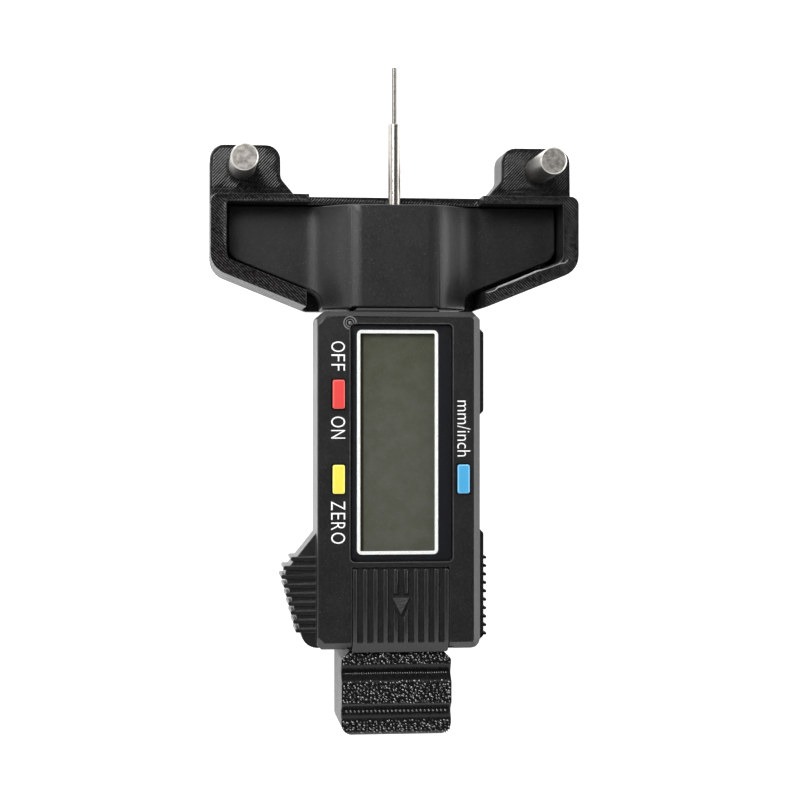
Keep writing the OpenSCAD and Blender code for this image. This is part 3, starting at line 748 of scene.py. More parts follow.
@dataclass(frozen=True)
class DarkResin(Finish):
    """Epoxy or rubber with a skin."""

    base: Colour = (0.01, 0.01, 0.011)
    least_rough: float = 0.25
    skin_mm: float = 0.8
    skin_rough: float = 0.15
    lit_gain: float = 1.6
    lit_more: float = 0.004
    depth_mm: float = 0.01

    def shader(self, draft: Draft) -> Signal:
        """Drafts the finish.

        Args:
            draft: the material being drafted.

        Returns:
            Its shader.
        """
        skin = draft.grain(self.skin_mm, 3.0)
        lit = tuple(min(1.0, part * self.lit_gain + self.lit_more) for part in self.base)
        return draft.surface(
            Base_Color=draft.blend(skin, self.base, lit),
            Roughness=skin * self.skin_rough + self.least_rough,
            Normal=draft.bump(skin, self.depth_mm),
        )


@dataclass(frozen=True)
class Backdrop(Finish):
    """Pale seamless ground that glows a little, as on a light table."""

    base: Colour = grey(0.5)
    roughness: float = 0.7
    sheen: float = 0.2
    glow: float = 1.1

    def shader(self, draft: Draft) -> Signal:
        """Drafts the finish.

        Args:
            draft: the material being drafted.

        Returns:
            Its shader.
        """
        return draft.surface(
            Base_Color=self.base,
            Roughness=self.roughness,
            Specular_IOR_Level=self.sheen,
            Emission_Color=grey(1.0),
            Emission_Strength=self.glow,
        )


PRINTED = PrintedPlastic("printed black plastic")
ROUGH_PRINT = PrintedPlastic(
    "rough printed plastic", grey(0.002), grey(0.006), 0.006, 0.01, 0.6, 1.75
)
# Pale grey on black filament: painted glints on the groove dots.
DOT_GLINT = PrintedPlastic("painted glint printed dots", grey(0.06), grey(0.2), 0.006, 0.16, 0.6)
CROSSBAR = MouldedPlastic(
    "grained crossbar plastic", (0.006, 0.006, 0.0065), grey(0.018), 0.3, 0.022, 0.24
)
HOUSING = MouldedPlastic(
    "satin housing plastic", (0.0065, 0.0065, 0.007), (0.017, 0.017, 0.0175), 0.3, 0.02, 0.21
)
COVER = MouldedPlastic(
    "satin cover plastic", (0.008, 0.008, 0.0085), (0.022, 0.022, 0.0225), 0.3, 0.02, 0.23
)
# A pale film for the window seat's edge: painted highlight.
EDGE_HIGHLIGHT = MouldedPlastic(
    "painted edge highlight plastic", grey(0.03), (0.09, 0.09, 0.088), 0.3, 0.01, 0.27
)
# A bright film for the pry notch's edges and pit: painted highlight.
NOTCH_HIGHLIGHT = MouldedPlastic(
    "painted notch highlight plastic", grey(0.13), (0.24, 0.24, 0.235), 0.2, 0.01, 0.22
)
# Pale grey on black filament: painted glint along the wall's edge.
STRAND_GLINT = MouldedPlastic("painted glint strand", grey(0.22), grey(0.42), 0.3, 0.006, 0.17)
ARROW_FACE = MouldedPlastic(
    "pale arrow plastic", grey(0.02), (0.07, 0.07, 0.068), 0.25, 0.02, 0.27, (0.15, 1.0, 1.0)
)
PIN_STEEL = Steel(
    "ground pin steel", (0.60, 0.58, 0.55), (0.40, 0.385, 0.36), 0.24, Grain.TURNED_PINS, 0.02
)
ROD_STEEL = Steel(
    "turned rod steel",
    (0.50, 0.48, 0.45),
    (0.40, 0.37, 0.34),
    0.13,
    Grain.TURNED_ROD,
    0.0008,
    rod_shadow_y=(-12.0, -11.0),
)
# The tip is a darker copy of the rod's steel: painted shade on its reflections.
TIP_STEEL = Steel(
    "turned tip steel", (0.25, 0.24, 0.225), (0.19, 0.18, 0.165), 0.15, Grain.TURNED_ROD, 0.0008
)
BEAM_STEEL = Steel("drawn beam steel", (0.56, 0.57, 0.58), grey(0.46), 0.21, Grain.DRAWN)
SCREW_STEEL = Steel("zinc plated steel", (0.45, 0.45, 0.46), (0.33, 0.33, 0.34), 0.23)
CELL_STEEL = Steel("nickel plated steel", (0.46, 0.45, 0.43), (0.36, 0.355, 0.34), 0.25)
SPRING_BRASS = Brass("spring brass")
WINDOW = ClearWindow("clear window plastic")
MASK_INK = Ink("black mask ink", (0.009, 0.0095, 0.013), 0.3)
# The two white inks glow a little: painted light.
LINE_INK = Ink("white line ink", (0.92, 0.93, 0.92), 0.4, 0.26)
LABEL_INK = Ink("white label ink", (0.88, 0.88, 0.87), 0.5, 0.2)
CRYSTAL = LiquidCrystal("liquid crystal olive")
LAMINATE = CircuitLaminate("green board laminate")
CHIP_RESIN = DarkResin("chip resin")
STRIP_RUBBER = DarkResin("contact rubber", (0.55, 0.51, 0.44), 0.6)
RED_KEY = SoftKey("red key", (0.69, 0.038, 0.033), (0.8, 0.115, 0.1))
YELLOW_KEY = SoftKey("yellow key", (0.82, 0.68, 0.055), (0.92, 0.85, 0.22))
BLUE_KEY = SoftKey("blue key", (0.03, 0.32, 0.6), (0.23, 0.57, 0.88))
GROUND = Backdrop("pale ground")


# ---------------------------------------------------------------- mesh work


class Blank:
    """A mesh on the bench: it starts from a CAD node or empty, is shaped, and becomes a piece."""

    def __init__(self, node: str | None = None) -> None:
        """Starts the mesh.

        Args:
            node: the CAD node whose mesh is copied and merged, if there is one.
        """
        self.mesh = bmesh.new()
        self.node = node
        if node is not None:
            self.mesh.from_mesh(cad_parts[node].data)
            bmesh.ops.remove_doubles(self.mesh, verts=self.mesh.verts[:], dist=MERGE_MM * MM)
            bmesh.ops.dissolve_limit(
                self.mesh,
                angle_limit=math.radians(FLAT_DEGREES),
                verts=self.mesh.verts[:],
                edges=self.mesh.edges[:],
            )
        self.printed = self.mesh.faces.layers.int.new("printed")

    def bevel(
        self,
        geom: list[bmesh.types.BMEdge] | list[bmesh.types.BMVert],
        width_mm: float,
        segments: int,
        affect: str = "EDGES",
    ) -> list[bmesh.types.BMVert]:
        """Bevels edges or corners.

        Args:
            geom: the edges, or the corners' vertices.
            width_mm: how far the bevel reaches.
            segments: its facets.
            affect: EDGES or VERTICES.

        Returns:
            The new vertices.
        """
        return bmesh.ops.bevel(
            self.mesh,
            geom=geom,
            offset=width_mm * MM,
            offset_type="OFFSET",
            segments=segments,
            profile=0.5,
            affect=affect,
            material=-1,
            loop_slide=affect == "EDGES",
        )["verts"]

    def soften(
        self, radius_mm: float, segments: int = 2, degrees: float = 35.0, wanted: Test = anywhere
    ) -> "Blank":
        """Rounds sharp edges.

        Args:
            radius_mm: the width of the rounding.
            segments: its facets.
            degrees: the least angle of an edge that is rounded.
            wanted: a test of the edge's middle, in millimetres.

        Returns:
            The blank.
        """
        edges = [
            edge
            for edge in self.mesh.edges
            if len(edge.link_faces) == 2
            and edge.calc_face_angle(0.0) > math.radians(degrees)
            and wanted((edge.verts[0].co + edge.verts[1].co) / (2.0 * MM))
        ]
        self.bevel(edges, radius_mm, segments)
        return self

    def tops(
        self, height_mm: float, wanted: Test = anywhere, reach_mm: float = 0.01
    ) -> list[bmesh.types.BMFace]:
        """Finds the level faces that look up at a height.

        Args:
            height_mm: the height.
            wanted: a test of the face's middle, in millimetres.
            reach_mm: how far a face may be from the height.

        Returns:
            The faces.
        """
        found = []
        for face in self.mesh.faces:
            middle = face.calc_center_median() / MM
            near = abs(middle.z - height_mm) < reach_mm
            if face.normal.z > 0.999 and near and wanted(middle):
                found.append(face)
        return found

    def lay_beads(
        self,
        faces: list[bmesh.types.BMFace],
        loops: int,
        lean: float,
        pitch: float,
        depth: float,
        cuts: float = 4.0,
    ) -> None:
        """Turns level faces into printed ones: outline beads round the rim, straight ones inside.

        Args:
            faces: the level faces, which are all at one height.
            loops: how many outline beads follow the rim.
            lean: the direction of the inner beads, in degrees from X.
            pitch: the width of a bead.
            depth: the depth of the seams.
            cuts: how many strips make up one bead.
        """
        level = faces[0].verts[0].co.z
        steps = [(pitch / 2.0, 0.0), (pitch / 2.0, -depth)] * loops + [(0.25 * pitch, 0.0)]
        for width, drop in steps:
            bmesh.ops.inset_region(
                self.mesh,
                faces=faces,
                thickness=width * MM,
                use_boundary=True,
                use_even_offset=False,
            )
            for vert in {v for face in faces for v in face.verts}:
                vert.co.z = level + drop * MM
        mark = 1 + max(face[self.printed] for face in self.mesh.faces)
        for face in bmesh.ops.triangulate(self.mesh, faces=faces)["faces"]:
            face[self.printed] = mark
        faces = self.marked(mark)
        across = Vector((-math.sin(math.radians(lean)), math.cos(math.radians(lean)), 0.0))
        reach = [across.dot(v.co) / MM for face in faces for v in face.verts]
        first, last = (math.ceil(end * cuts / pitch) for end in (min(reach), max(reach)))
        for step in range(first, last):
            place = step * pitch / cuts * MM
            region = []
            for face in self.marked(mark):
                sides = [across.dot(v.co) - place for v in face.verts]
                if min(sides) < 0.0 < max(sides):
                    region += [face, *face.edges, *face.verts]
            self.cut(list(set(region)), across * place, across)
        for vert in {v for face in self.marked(mark) for v in face.verts}:
            phase = across.dot(vert.co) / MM / pitch
            vert.co.z = level - depth * MM * (2.0 * (phase - math.floor(phase)) - 1.0) ** 2

    def marked(self, mark: int) -> list[bmesh.types.BMFace]:
        """The faces with that mark."""
        return [face for face in self.mesh.faces if face[self.printed] == mark]

    def cut(
        self, geom: list[object], point: Vector, across: Vector, snap_mm: float = CUT_MM
    ) -> None:
        """Cuts a part of the mesh along a plane.

        Args:
            geom: the part's vertices, edges and faces.
            point: a point of the plane.
            across: the direction across it.
            snap_mm: how near a vertex takes the cut as it is.
        """
        bmesh.ops.bisect_plane(
            self.mesh, geom=geom, dist=snap_mm * MM, plane_co=point, plane_no=across
        )

    def slice(self, across: Vector, places: Iterable[float], snap_mm: float = 0.001) -> None:
        """Cuts the whole mesh into strips.

        Args:
            across: the direction across the cuts.
            places: where each cut lies along it, in millimetres.
            snap_mm: how near a vertex takes a cut as it is.
        """
        bmesh.ops.triangulate(self.mesh, faces=self.mesh.faces[:])
        for place in places:
            everything = [*self.mesh.verts, *self.mesh.edges, *self.mesh.faces]
            self.cut(everything, across * place * MM, across, snap_mm)

    def thicken(self, faces: list[bmesh.types.BMFace], thick_mm: float) -> None:
        """Raises faces into a solid.

        Args:
            faces: the faces, which become its underside.
            thick_mm: how thick it is.
        """
        raised = bmesh.ops.extrude_face_region(self.mesh, geom=faces)["geom"]
        lifted = [item for item in raised if isinstance(item, bmesh.types.BMVert)]
        bmesh.ops.translate(self.mesh, verts=lifted, vec=Vector((0.0, 0.0, thick_mm * MM)))
        bmesh.ops.recalc_face_normals(self.mesh, faces=self.mesh.faces[:])

    def hoop(self, low: Vector, high: Vector, radius: float, width: float, thick: float) -> "Blank":
        """Lays a flat rounded frame.

        Args:
            low: its inner corner with the lowest X and Y, at the height of its underside.
            high: the opposite inner corner.
            radius: the rounding of the inner corners.
            width: how wide its band is.
            thick: how thick it is.

        Returns:
            The blank.
        """
        half_x = (high.x - low.x) / 2.0 + width
        half_y = (high.y - low.y) / 2.0 + width
        place = Matrix.Scale(MM, 4) @ Matrix.Translation((low + high) / 2.0)
        place = place @ Matrix.Diagonal((half_x, half_y, 1.0, 1.0))
        start = bmesh.ops.create_grid(
            self.mesh, x_segments=1, y_segments=1, size=1.0, matrix=place
        )["verts"]
        corners = self.bevel(start, radius + width, 8, "VERTICES")
        sheet = list({face for vert in corners for face in vert.link_faces})
        band = bmesh.ops.inset_region(
            self.mesh,
            faces=sheet,
            thickness=width * MM,
            use_boundary=True,
            use_even_offset=True,
        )["faces"]
        bmesh.ops.delete(self.mesh, geom=sheet, context="FACES")
        self.thicken(band, thick)
        return self

    def keep_inside(self) -> None:
        """Moves what the rounding pushed out of the node's box back to its sides."""
        low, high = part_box(self.node)
        for vert in self.mesh.verts:
            for axis in range(3):
                vert.co[axis] = min(max(vert.co[axis], low[axis]), high[axis])

    def piece(
        self, name: str, body: str, finish: Finish, slot: str, crease: float = 32.0
    ) -> None:
        """Makes the piece, which rides on its body and stands for its CAD node.

        Args:
            name: the piece's name.
            body: the body it rides on.
            finish: what it is finished with.
            slot: the record's material slot; not used.
            crease: the angle in degrees above which an edge stays crisp.
        """
        if self.node is not None:
            self.keep_inside()
        data = bpy.data.meshes.new(name)
        self.mesh.to_mesh(data)
        self.mesh.free()
        data.shade_smooth()
        data.set_sharp_from_angle(angle=math.radians(crease))
        data.materials.append(finish.material())
        made = bpy.data.objects.new(name, data)
        bpy.context.scene.collection.objects.link(made)
        even = made.modifiers.new("even_faces", "WEIGHTED_NORMAL")
        even.keep_sharp = True
        even.weight = 100
        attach(made, body)
        if self.node is not None:
            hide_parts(self.node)
        log.info("%s: %d faces on %s", name, len(data.polygons), body)


def dress(finish: Finish, *nodes: str) -> None:
    """Gives CAD nodes that stay as they are their finish.

    Args:
        finish: what they are finished with.
        nodes: the nodes.
    """
    for node in nodes:
        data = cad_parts[node].data
        data.materials.clear()
        data.materials.append(finish.material())
        log.info("%s: finished as %s", node, finish.name)


def surface_of(node: str) -> BVHTree:
    """The surface of a CAD node, for finding heights on it."""
    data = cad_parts[node].data
    return BVHTree.FromPolygons([v.co for v in data.vertices], [p.vertices for p in data.polygons])


def on_top(tree: BVHTree, x: float, y: float) -> Vector | None:
    """The highest point of a surface over a place in millimetres, if there is one."""
    above = Vector((x * MM, y * MM, LOOK_FROM_MM * MM))
    return tree.ray_cast(above, Vector((0.0, 0.0, -1.0)))[0]


# ---------------------------------------------------------------- sub-assemblies


STRAND_PATH = (
    (16.74, -16.43, 0.07),
    (17.62, -16.17, 0.08),
    (18.31, -15.93, 0.09),
    (18.79, -15.41, 0.14),
    (20.42, -14.77, 0.17),
    (22.27, -14.02, 0.19),
    (24.25, -13.17, 0.19),
    (26.31, -12.27, 0.17),
    (26.96, -12.16, 0.09),
    (27.95, -11.87, 0.06),
    (29.23, -11.38, 0.07),
    (30.54, -10.89, 0.08),
    (31.37, -10.81, 0.07),
    (31.97, -10.18, 0.05),
)


@dataclass
class Holder:
    """The printed tray with its ears, and the two steel pins."""

    edge_mm: float = 0.16
    lit_edge_mm: float = 0.42
    lit_edge: tuple[Pair, Pair] = ((16.4, -16.14), (30.4, -10.53))
    lit_reach: float = 0.5
    lit_depth: float = 0.1
    strand_z: float = 17.98
    strand_sides: int = 10
    pin_edge_mm: float = 0.09
    ear_seam_mm: float = 0.055
    rim_seam_mm: float = 0.07
    cusp_y: float = 3.0
    ear_z: float = 9.0
    low_wall_z: float = 12.5
    rim_z: float = 18.0

    def build(self) -> None:
        """Builds the holder's pieces."""
        tray = Blank("holder")
        tray.soften(self.lit_edge_mm, 4, wanted=self.on_lit_edge).soften(self.edge_mm)
        bmesh.ops.triangulate(tray.mesh, faces=tray.tops(self.ear_z))
        ears = {i for face in tray.tops(self.ear_z) for i in (face, *face.edges, *face.verts)}
        tray.cut(list(ears), Vector((0.0, self.cusp_y * MM, 0.0)), Vector((0.0, 1.0, 0.0)))
        for side in (-1.0, 1.0):
            ear = tray.tops(self.ear_z, lambda p: p.x * side > 0.0 and p.y > self.cusp_y)
            tray.lay_beads(ear, 1, EAR_LEAN, BEAD_MM, self.ear_seam_mm)
            rim = tray.tops(self.rim_z, lambda p: p.x * side > 0.0)
            tray.lay_beads(rim, 0, RIM_LEAN, BEAD_MM, self.rim_seam_mm)
        low_wall = tray.tops(self.low_wall_z)
        tray.lay_beads(low_wall, 0, EAR_LEAN, BEAD_MM, self.ear_seam_mm)
        tray.piece("tray", "frame", PRINTED, "printed_black")
        self.strand_glint()
        pins = Blank("belt_pins").soften(self.pin_edge_mm, 2, 30.0)
        pins.piece("pins", "frame", PIN_STEEL, "pin_steel")

    def on_lit_edge(self, point: Vector) -> bool:
        """Tests for the inner top edge of the right slanted wall.

        Args:
            point: a point in millimetres.

        Returns:
            Whether it lies there.
        """
        (x0, y0), (x1, y1) = self.lit_edge
        share = (point.x - x0) / (x1 - x0)
        near = abs(point.y - y0 - share * (y1 - y0)) < self.lit_reach
        return 0.0 < share < 1.0 and near and point.z > self.rim_z - self.lit_depth

    def strand_glint(self) -> None:
        """Lays the wavy last bead that stands proud along the right slanted wall's inner edge, pale
        with a painted glint.
        """
        blank = Blank()
        mesh = blank.mesh
        points = [Vector((x, y, self.strand_z)) * MM for x, y, _ in STRAND_PATH]
        radii = [radius for _, _, radius in STRAND_PATH]
        turn = (points[-1] - points[0]).to_track_quat("Z", "Y").to_matrix().to_4x4()
        bmesh.ops.create_circle(
            mesh,
            cap_ends=True,
            segments=self.strand_sides,
            radius=radii[0] * MM,
            matrix=Matrix.Translation(points[0]) @ turn,
        )
        end = mesh.faces[:]
        for i in range(1, len(points)):
            grown = bmesh.ops.extrude_face_region(mesh, geom=end)["geom"]
            end = [item for item in grown if isinstance(item, bmesh.types.BMFace)]
            ring = end[0].verts[:]
            bmesh.ops.translate(mesh, verts=ring, vec=points[i] - points[i - 1])
            growth = Vector(EVEN) * (radii[i] / radii[i - 1])
            bmesh.ops.scale(mesh, verts=ring, vec=growth, space=Matrix.Translation(-points[i]))
        inner = [face for face in mesh.faces if len(face.verts) == self.strand_sides][1:-1]
        bmesh.ops.delete(mesh, geom=inner, context="FACES_ONLY")
        bmesh.ops.recalc_face_normals(mesh, faces=mesh.faces[:])
        blank.piece("strand_glint", "frame", STRAND_GLINT, "printed_black", 70.0)


@dataclass
class Crossbar:
    """The moulded crossbar with the beam that the slide runs on."""

    edge_mm: float = 0.3
    beam_edge_mm: float = 0.2
    least_z: float = 11.0
    middle_y: float = -8.0
    recess_x: float = 8.15
    recess_y: Pair = (-19.0, -18.5)
    recess_fill: float = 0.25
    ease_from: float = 6.0
    ease_to: float = 17.0
    ease_mm: float = 2.0
    ease_samples: int = 6
    strip_mm: float = 0.35

    def build(self) -> None:
        """Builds the crossbar and dresses the beam's pieces."""
        blank = Blank("crossbar").soften(self.edge_mm, 3, 20.0)
        low, high = self.recess_y
        for vert in blank.mesh.verts:
            if abs(vert.co.x / MM) < self.recess_x and low < vert.co.y / MM < high:
                vert.co.y -= self.recess_fill * MM
        self.ease_ramps(blank)
        blank.piece("bar", "frame", CROSSBAR, "crossbar_black", 25.0)
        rail = Blank("beam").soften(self.beam_edge_mm)
        rail.piece("rail", "frame", BEAM_STEEL, "beam_steel")
        dress(PIN_STEEL, "beam_pins", "stop_pin")
        dress(LAMINATE, "scale_strip")

    def ease_ramps(self, blank: Blank) -> None:
        """Eases the ramps at both ends: each point takes the mean height around it.

        Args:
            blank: the crossbar.
        """
        strips = range(math.ceil((self.ease_to - self.ease_from) / self.strip_mm) + 1)
        places = [s * (self.ease_from + i * self.strip_mm) for s in (-1.0, 1.0) for i in strips]
        blank.slice(Vector((1.0, 0.0, 0.0)), places)
        tree = surface_of("crossbar")
        samples = range(-self.ease_samples, self.ease_samples + 1)
        rise: dict[float, float] = {}
        for vert in blank.mesh.verts:
            x = round(vert.co.x / MM, 3)
            if vert.co.z / MM > self.least_z and self.ease_from < abs(x) < self.ease_to:
                if x not in rise:
                    around = [x + self.ease_mm * k / self.ease_samples for k in samples]
                    spread = [on_top(tree, place, self.middle_y).z for place in around]
                    rise[x] = sum(spread) / len(spread) - spread[self.ease_samples]
                vert.co.z += rise[x]


@dataclass
class Housing:
    """The slide's two shells with their screws, and pale films of painted highlight on the front's
    edges.
    """

    front_edge_mm: float = 0.12
    back_edge_mm: float = 0.25
    nose_y: float = -19.6
    nose_z: float = 19.2
    nose_fall: float = 0.4
    seat_gap: float = 0.1
    seat_r: float = 0.85
    seat_highlight: float = 0.16
    notch_at: Pair = (-8.75, -22.15)
    notch_r: float = 1.02
    notch_edge: float = 0.2
    pit_z: float = 20.16
    pit_r: float = 0.6
    spot_size: Triple = (0.36, 0.36, 0.14)
    roundness: float = 0.999

    def build(self) -> None:
        """Builds the shells."""
        front = Blank("front_shell").soften(self.front_edge_mm)
        for vert in front.mesh.verts:
            if vert.co.y / MM > self.nose_y and vert.co.z / MM > self.nose_z:
                vert.co.z -= self.nose_fall * MM
        front.piece("case_front", "slide", HOUSING, "housing_black")
        back = Blank("rear_shell").soften(self.back_edge_mm)
        back.piece("case_back", "slide", HOUSING, "housing_black")
        self.painted_edge_highlights()
        dress(SCREW_STEEL, "shell_screws", "block_screws", "board_screws")
        dress(SPRING_BRASS, "wear_strip")

    def painted_edge_highlights(self) -> None:
        """Lays thin pale lines of painted highlight along the window's seat and the pry notch's
        edges, with a pale spot in the notch's pit.
        """
        low, high = (Vector(corner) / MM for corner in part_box("lens"))
        low.z = high.z = FACE_Z
        gap = Vector((self.seat_gap, self.seat_gap, 0.0))
        low, high = low - gap, high + gap
        # A pale band round the window's seat: painted highlight on its edge.
        seat = Blank().hoop(low, high, self.seat_r, self.seat_highlight, FILM_MM)
        seat.piece("seat_highlight", "slide", EDGE_HIGHLIGHT, "housing_black")
        # Pale rings round the notch and its pit: painted highlight on their edges.
        rings = Blank()
        for radius, height in ((self.notch_r, FACE_Z), (self.pit_r, self.pit_z)):
            middle = Vector((*self.notch_at, height))
            half = Vector((radius, radius, 0.0))
            inner_r = radius * self.roundness
            rings.hoop(middle - half, middle + half, inner_r, self.notch_edge, FILM_MM)
        middles = {face: face.calc_center_median() / MM for face in rings.mesh.faces}
        inside = [face for face, p in middles.items() if p.x > low.x and p.y < high.y]
        bmesh.ops.delete(rings.mesh, geom=inside, context="FACES")
        # A pale spot on a small dome in the pit: painted highlight.
        spot = Matrix.Translation(Vector((*self.notch_at, self.pit_z)) * MM)
        shape = Matrix.Diagonal((*self.spot_size, 1.0))
        bmesh.ops.create_icosphere(rings.mesh, subdivisions=3, radius=MM, matrix=spot @ shape)
        rings.piece("notch_highlights", "slide", NOTCH_HIGHLIGHT, "housing_black")


@dataclass
class Probe:
    """The rod and its thin tip."""

    rod_edge_mm: float = 0.05
    tip_edge_mm: float = 0.03

    def build(self) -> None:
        """Builds the rod and the tip."""
        rod = Blank("probe_rod").soften(self.rod_edge_mm, 1)
        rod.piece("rod", "slide", ROD_STEEL, "pin_steel")
        tip = Blank("probe_tip").soften(self.tip_edge_mm, 1)
        tip.piece("tip", "slide", TIP_STEEL, "pin_steel")


@dataclass
class Reading:
    """The window with what lies behind it."""

    edge_mm: float = 0.12

    def build(self) -> None:
        """Builds the window and dresses the display."""
        window = Blank("lens").soften(self.edge_mm, 2, 40.0)
        window.piece("window", "slide", WINDOW, "lens_clear")
        dress(MASK_INK, "lens_mask")
        dress(LINE_INK, "display_line")
        dress(CRYSTAL, "display")
        dress(STRIP_RUBBER, "contact_strips")


@dataclass
class Electronics:
    """What the housing hides."""

    def build(self) -> None:
        """Dresses the board, the cell and the contacts."""
        dress(LAMINATE, "circuit_board")
        dress(CHIP_RESIN, "controller_chip")
        dress(SCREW_STEEL, "switches")
        dress(CELL_STEEL, "battery")
        dress(SPRING_BRASS, "contact_plus", "contact_minus")


@dataclass
class Keys:
    """The three buttons."""

    edge_mm: float = 0.07
    crown_z: float = 21.3
    rim_mm: float = 0.17
    rim_fall: float = 0.05
    core_r: float = 0.3
    shoulder: Pair = (0.3, 0.1)
    caps: tuple[tuple[str, str, str, Finish, str], ...] = (
        ("power_button", "power_cap", "power_key", RED_KEY, "button_red"),
        ("zero_button", "zero_cap", "zero_key", YELLOW_KEY, "button_yellow"),
        ("unit_button", "unit_cap", "unit_key", BLUE_KEY, "button_blue"),
    )

    def build(self) -> None:
        """Builds the caps."""
        for node, name, body, finish, slot in self.caps:
            blank = Blank(node).soften(self.edge_mm, 2, 40.0, self.on_shoulder)
            # The sloped ring cut round the crown is where the keys' finish paints its highlight;
            # the walls below take its painted shade.
            crown = blank.tops(self.crown_z)
            rim = self.rim_mm * MM
            bmesh.ops.inset_region(blank.mesh, faces=crown, thickness=rim, use_even_offset=True)
            blank.bevel(crown[0].verts[:], self.core_r, 4, "VERTICES")
            for vert in blank.mesh.verts:
                slopes = any(face.normal.z < 0.9 for face in vert.link_faces)
                if slopes and vert.co.z / MM > self.crown_z - 0.01:
                    vert.co.z -= self.rim_fall * MM
            blank.piece(name, body, finish, slot, 20.0)

    def on_shoulder(self, point: Vector) -> bool:
        """Whether a point in millimetres lies on the upright edges just under the crown."""
        return self.shoulder[0] > self.crown_z - point.z > self.shoulder[1]


@dataclass
class BatteryCover:
    """The ribbed cover."""

    rib_edge_mm: float = 0.26
    fine_edge_mm: float = 0.06
    arrow_x: float = 0.55
    arrow_half_w: float = 1.5
    arrow_top_y: float = -72.25
    arrow_tip_y: float = -75.3
    arrow_z: float = 20.43
    arrow_reach: float = 2.4

    def build(self) -> None:
        """Builds the cover."""
        blank = Blank("battery_cover")
        blank.soften(self.fine_edge_mm, 1, wanted=self.near_arrow)
        blank.soften(self.rib_edge_mm, 3, 60.0, self.on_rib)
        blank.piece("lid", "cover", COVER, "cover_black")
        self.arrow_face()

    def near_arrow(self, point: Vector) -> bool:
        """Whether a point in millimetres belongs to the arrow."""
        middle = (self.arrow_top_y + self.arrow_tip_y) / 2.0
        return math.hypot(point.x - self.arrow_x, point.y - middle) < self.arrow_reach

    def on_rib(self, point: Vector) -> bool:
        """Whether a point in millimetres belongs to the top of a rib."""
        return point.z > FACE_Z and not self.near_arrow(point)

    def arrow_face(self) -> None:
        """Lays a paler film on the arrow's face."""
        blank = Blank()
        corners = (
            (self.arrow_x - self.arrow_half_w, self.arrow_top_y),
            (self.arrow_x, self.arrow_tip_y),
            (self.arrow_x + self.arrow_half_w, self.arrow_top_y),
        )
        points = [Vector((*corner, self.arrow_z)) * MM for corner in corners]
        verts = [bmesh.ops.create_vert(blank.mesh, co=point)["vert"][0] for point in points]
        face = bmesh.ops.contextual_create(blank.mesh, geom=verts)["faces"]
        blank.thicken(face, FILM_MM)
        blank.piece("arrow_face", "cover", ARROW_FACE, "cover_black")


@dataclass
class ThumbBlock:
    """The printed block under the thumb, with rough bands and a row of dots in each groove, pale
    with painted glints.
    """

    edge_mm: float = 0.2
    half_w: float = 10.15
    band_margin: float = 0.25
    dot_margin: float = 0.8
    least_z: float = 16.0
    lump_pitch: float = 0.6
    lump_jitter: Pair = (0.1, 0.9)
    lump_growth: Pair = (0.75, 1.25)
    lump_size: Triple = (0.26, 0.18, 0.13)
    lump_tilt: float = 14.0
    lump_lean: float = -50.0
    lump_spread: float = 18.0
    bands: tuple[Pair, ...] = ((-82.3, -84.7), (-87.6, -91.8), (-94.9, -97.4))
    dot_rows: tuple[Triple, ...] = ((-86.4, 0.12, 0.42), (-93.35, 0.2, 0.76))
    dot_shape: Triple = (1.0, 1.4, 0.8)
    dot_turn: float = 20.0
    crease: float = 12.0
    seed: int = 7

    def build(self) -> None:
        """Builds the block, its rough bands and its dots."""
        block = Blank("thumb_block").soften(self.edge_mm)
        block.piece("block", "slide", PRINTED, "printed_black")
        tree = surface_of("thumb_block")
        self.rough_bands(tree)
        self.dots(tree)

    def rough_bands(self, tree: BVHTree) -> None:
        """Strews small slanting lumps over the bands.

        Args:
            tree: the block's surface.
        """
        blank = Blank()
        draw = random.Random(self.seed)
        reach = self.half_w - self.band_margin
        for top, bottom in self.bands:
            rows = math.ceil((top - bottom) / self.lump_pitch)
            columns = math.ceil(2.0 * reach / self.lump_pitch)
            for row in range(rows):
                for column in range(columns):
                    x = -reach + 2.0 * reach * (column + draw.uniform(*self.lump_jitter)) / columns
                    y = bottom + (top - bottom) * (row + draw.uniform(*self.lump_jitter)) / rows
                    turn = math.radians(self.lump_lean + draw.gauss(0.0, self.lump_spread))
                    size = draw.uniform(*self.lump_growth)
                    seat = on_top(tree, x, y)
                    if seat is None or seat.z / MM < self.least_z:
                        continue
                    tilt = math.radians(draw.uniform(-self.lump_tilt, self.lump_tilt))
                    place = Matrix.Translation(seat) @ Matrix.Rotation(turn, 4, "Z")
                    place = place @ Matrix.Rotation(tilt, 4, "X")
                    place = place @ Matrix.Diagonal((*(s * size for s in self.lump_size), 1.0))
                    bmesh.ops.create_icosphere(
                        blank.mesh, subdivisions=1, radius=MM, matrix=place
                    )
        blank.piece("rough_bands", "slide", ROUGH_PRINT, "printed_black", self.crease)

    def dots(self, tree: BVHTree) -> None:
        """Lays a row of small round dots along each groove, in a pale finish that paints their
        glints.

        Args:
            tree: the block's surface.
        """
        blank = Blank()
        turn = Matrix.Rotation(math.radians(self.dot_turn), 4, "Z")
        shape = Matrix.Diagonal((*self.dot_shape, 1.0))
        for y, radius, pitch in self.dot_rows:
            count = int((self.half_w - self.dot_margin) / pitch)
            for i in range(-count, count + 1):
                seat = on_top(tree, i * pitch, y)
                if seat is not None:
                    bmesh.ops.create_icosphere(
                        blank.mesh,
                        subdivisions=1,
                        radius=radius * MM,
                        matrix=Matrix.Translation(seat) @ turn @ shape,
                    )
        blank.piece("groove_dots", "slide", DOT_GLINT, "printed_black", self.crease)


@dataclass(frozen=True)
class Label:
    """One word printed on the face, read downwards, with the place of each letter."""

    text: str
    x_mm: float
    height_mm: float
    spans: tuple[Pair, ...]


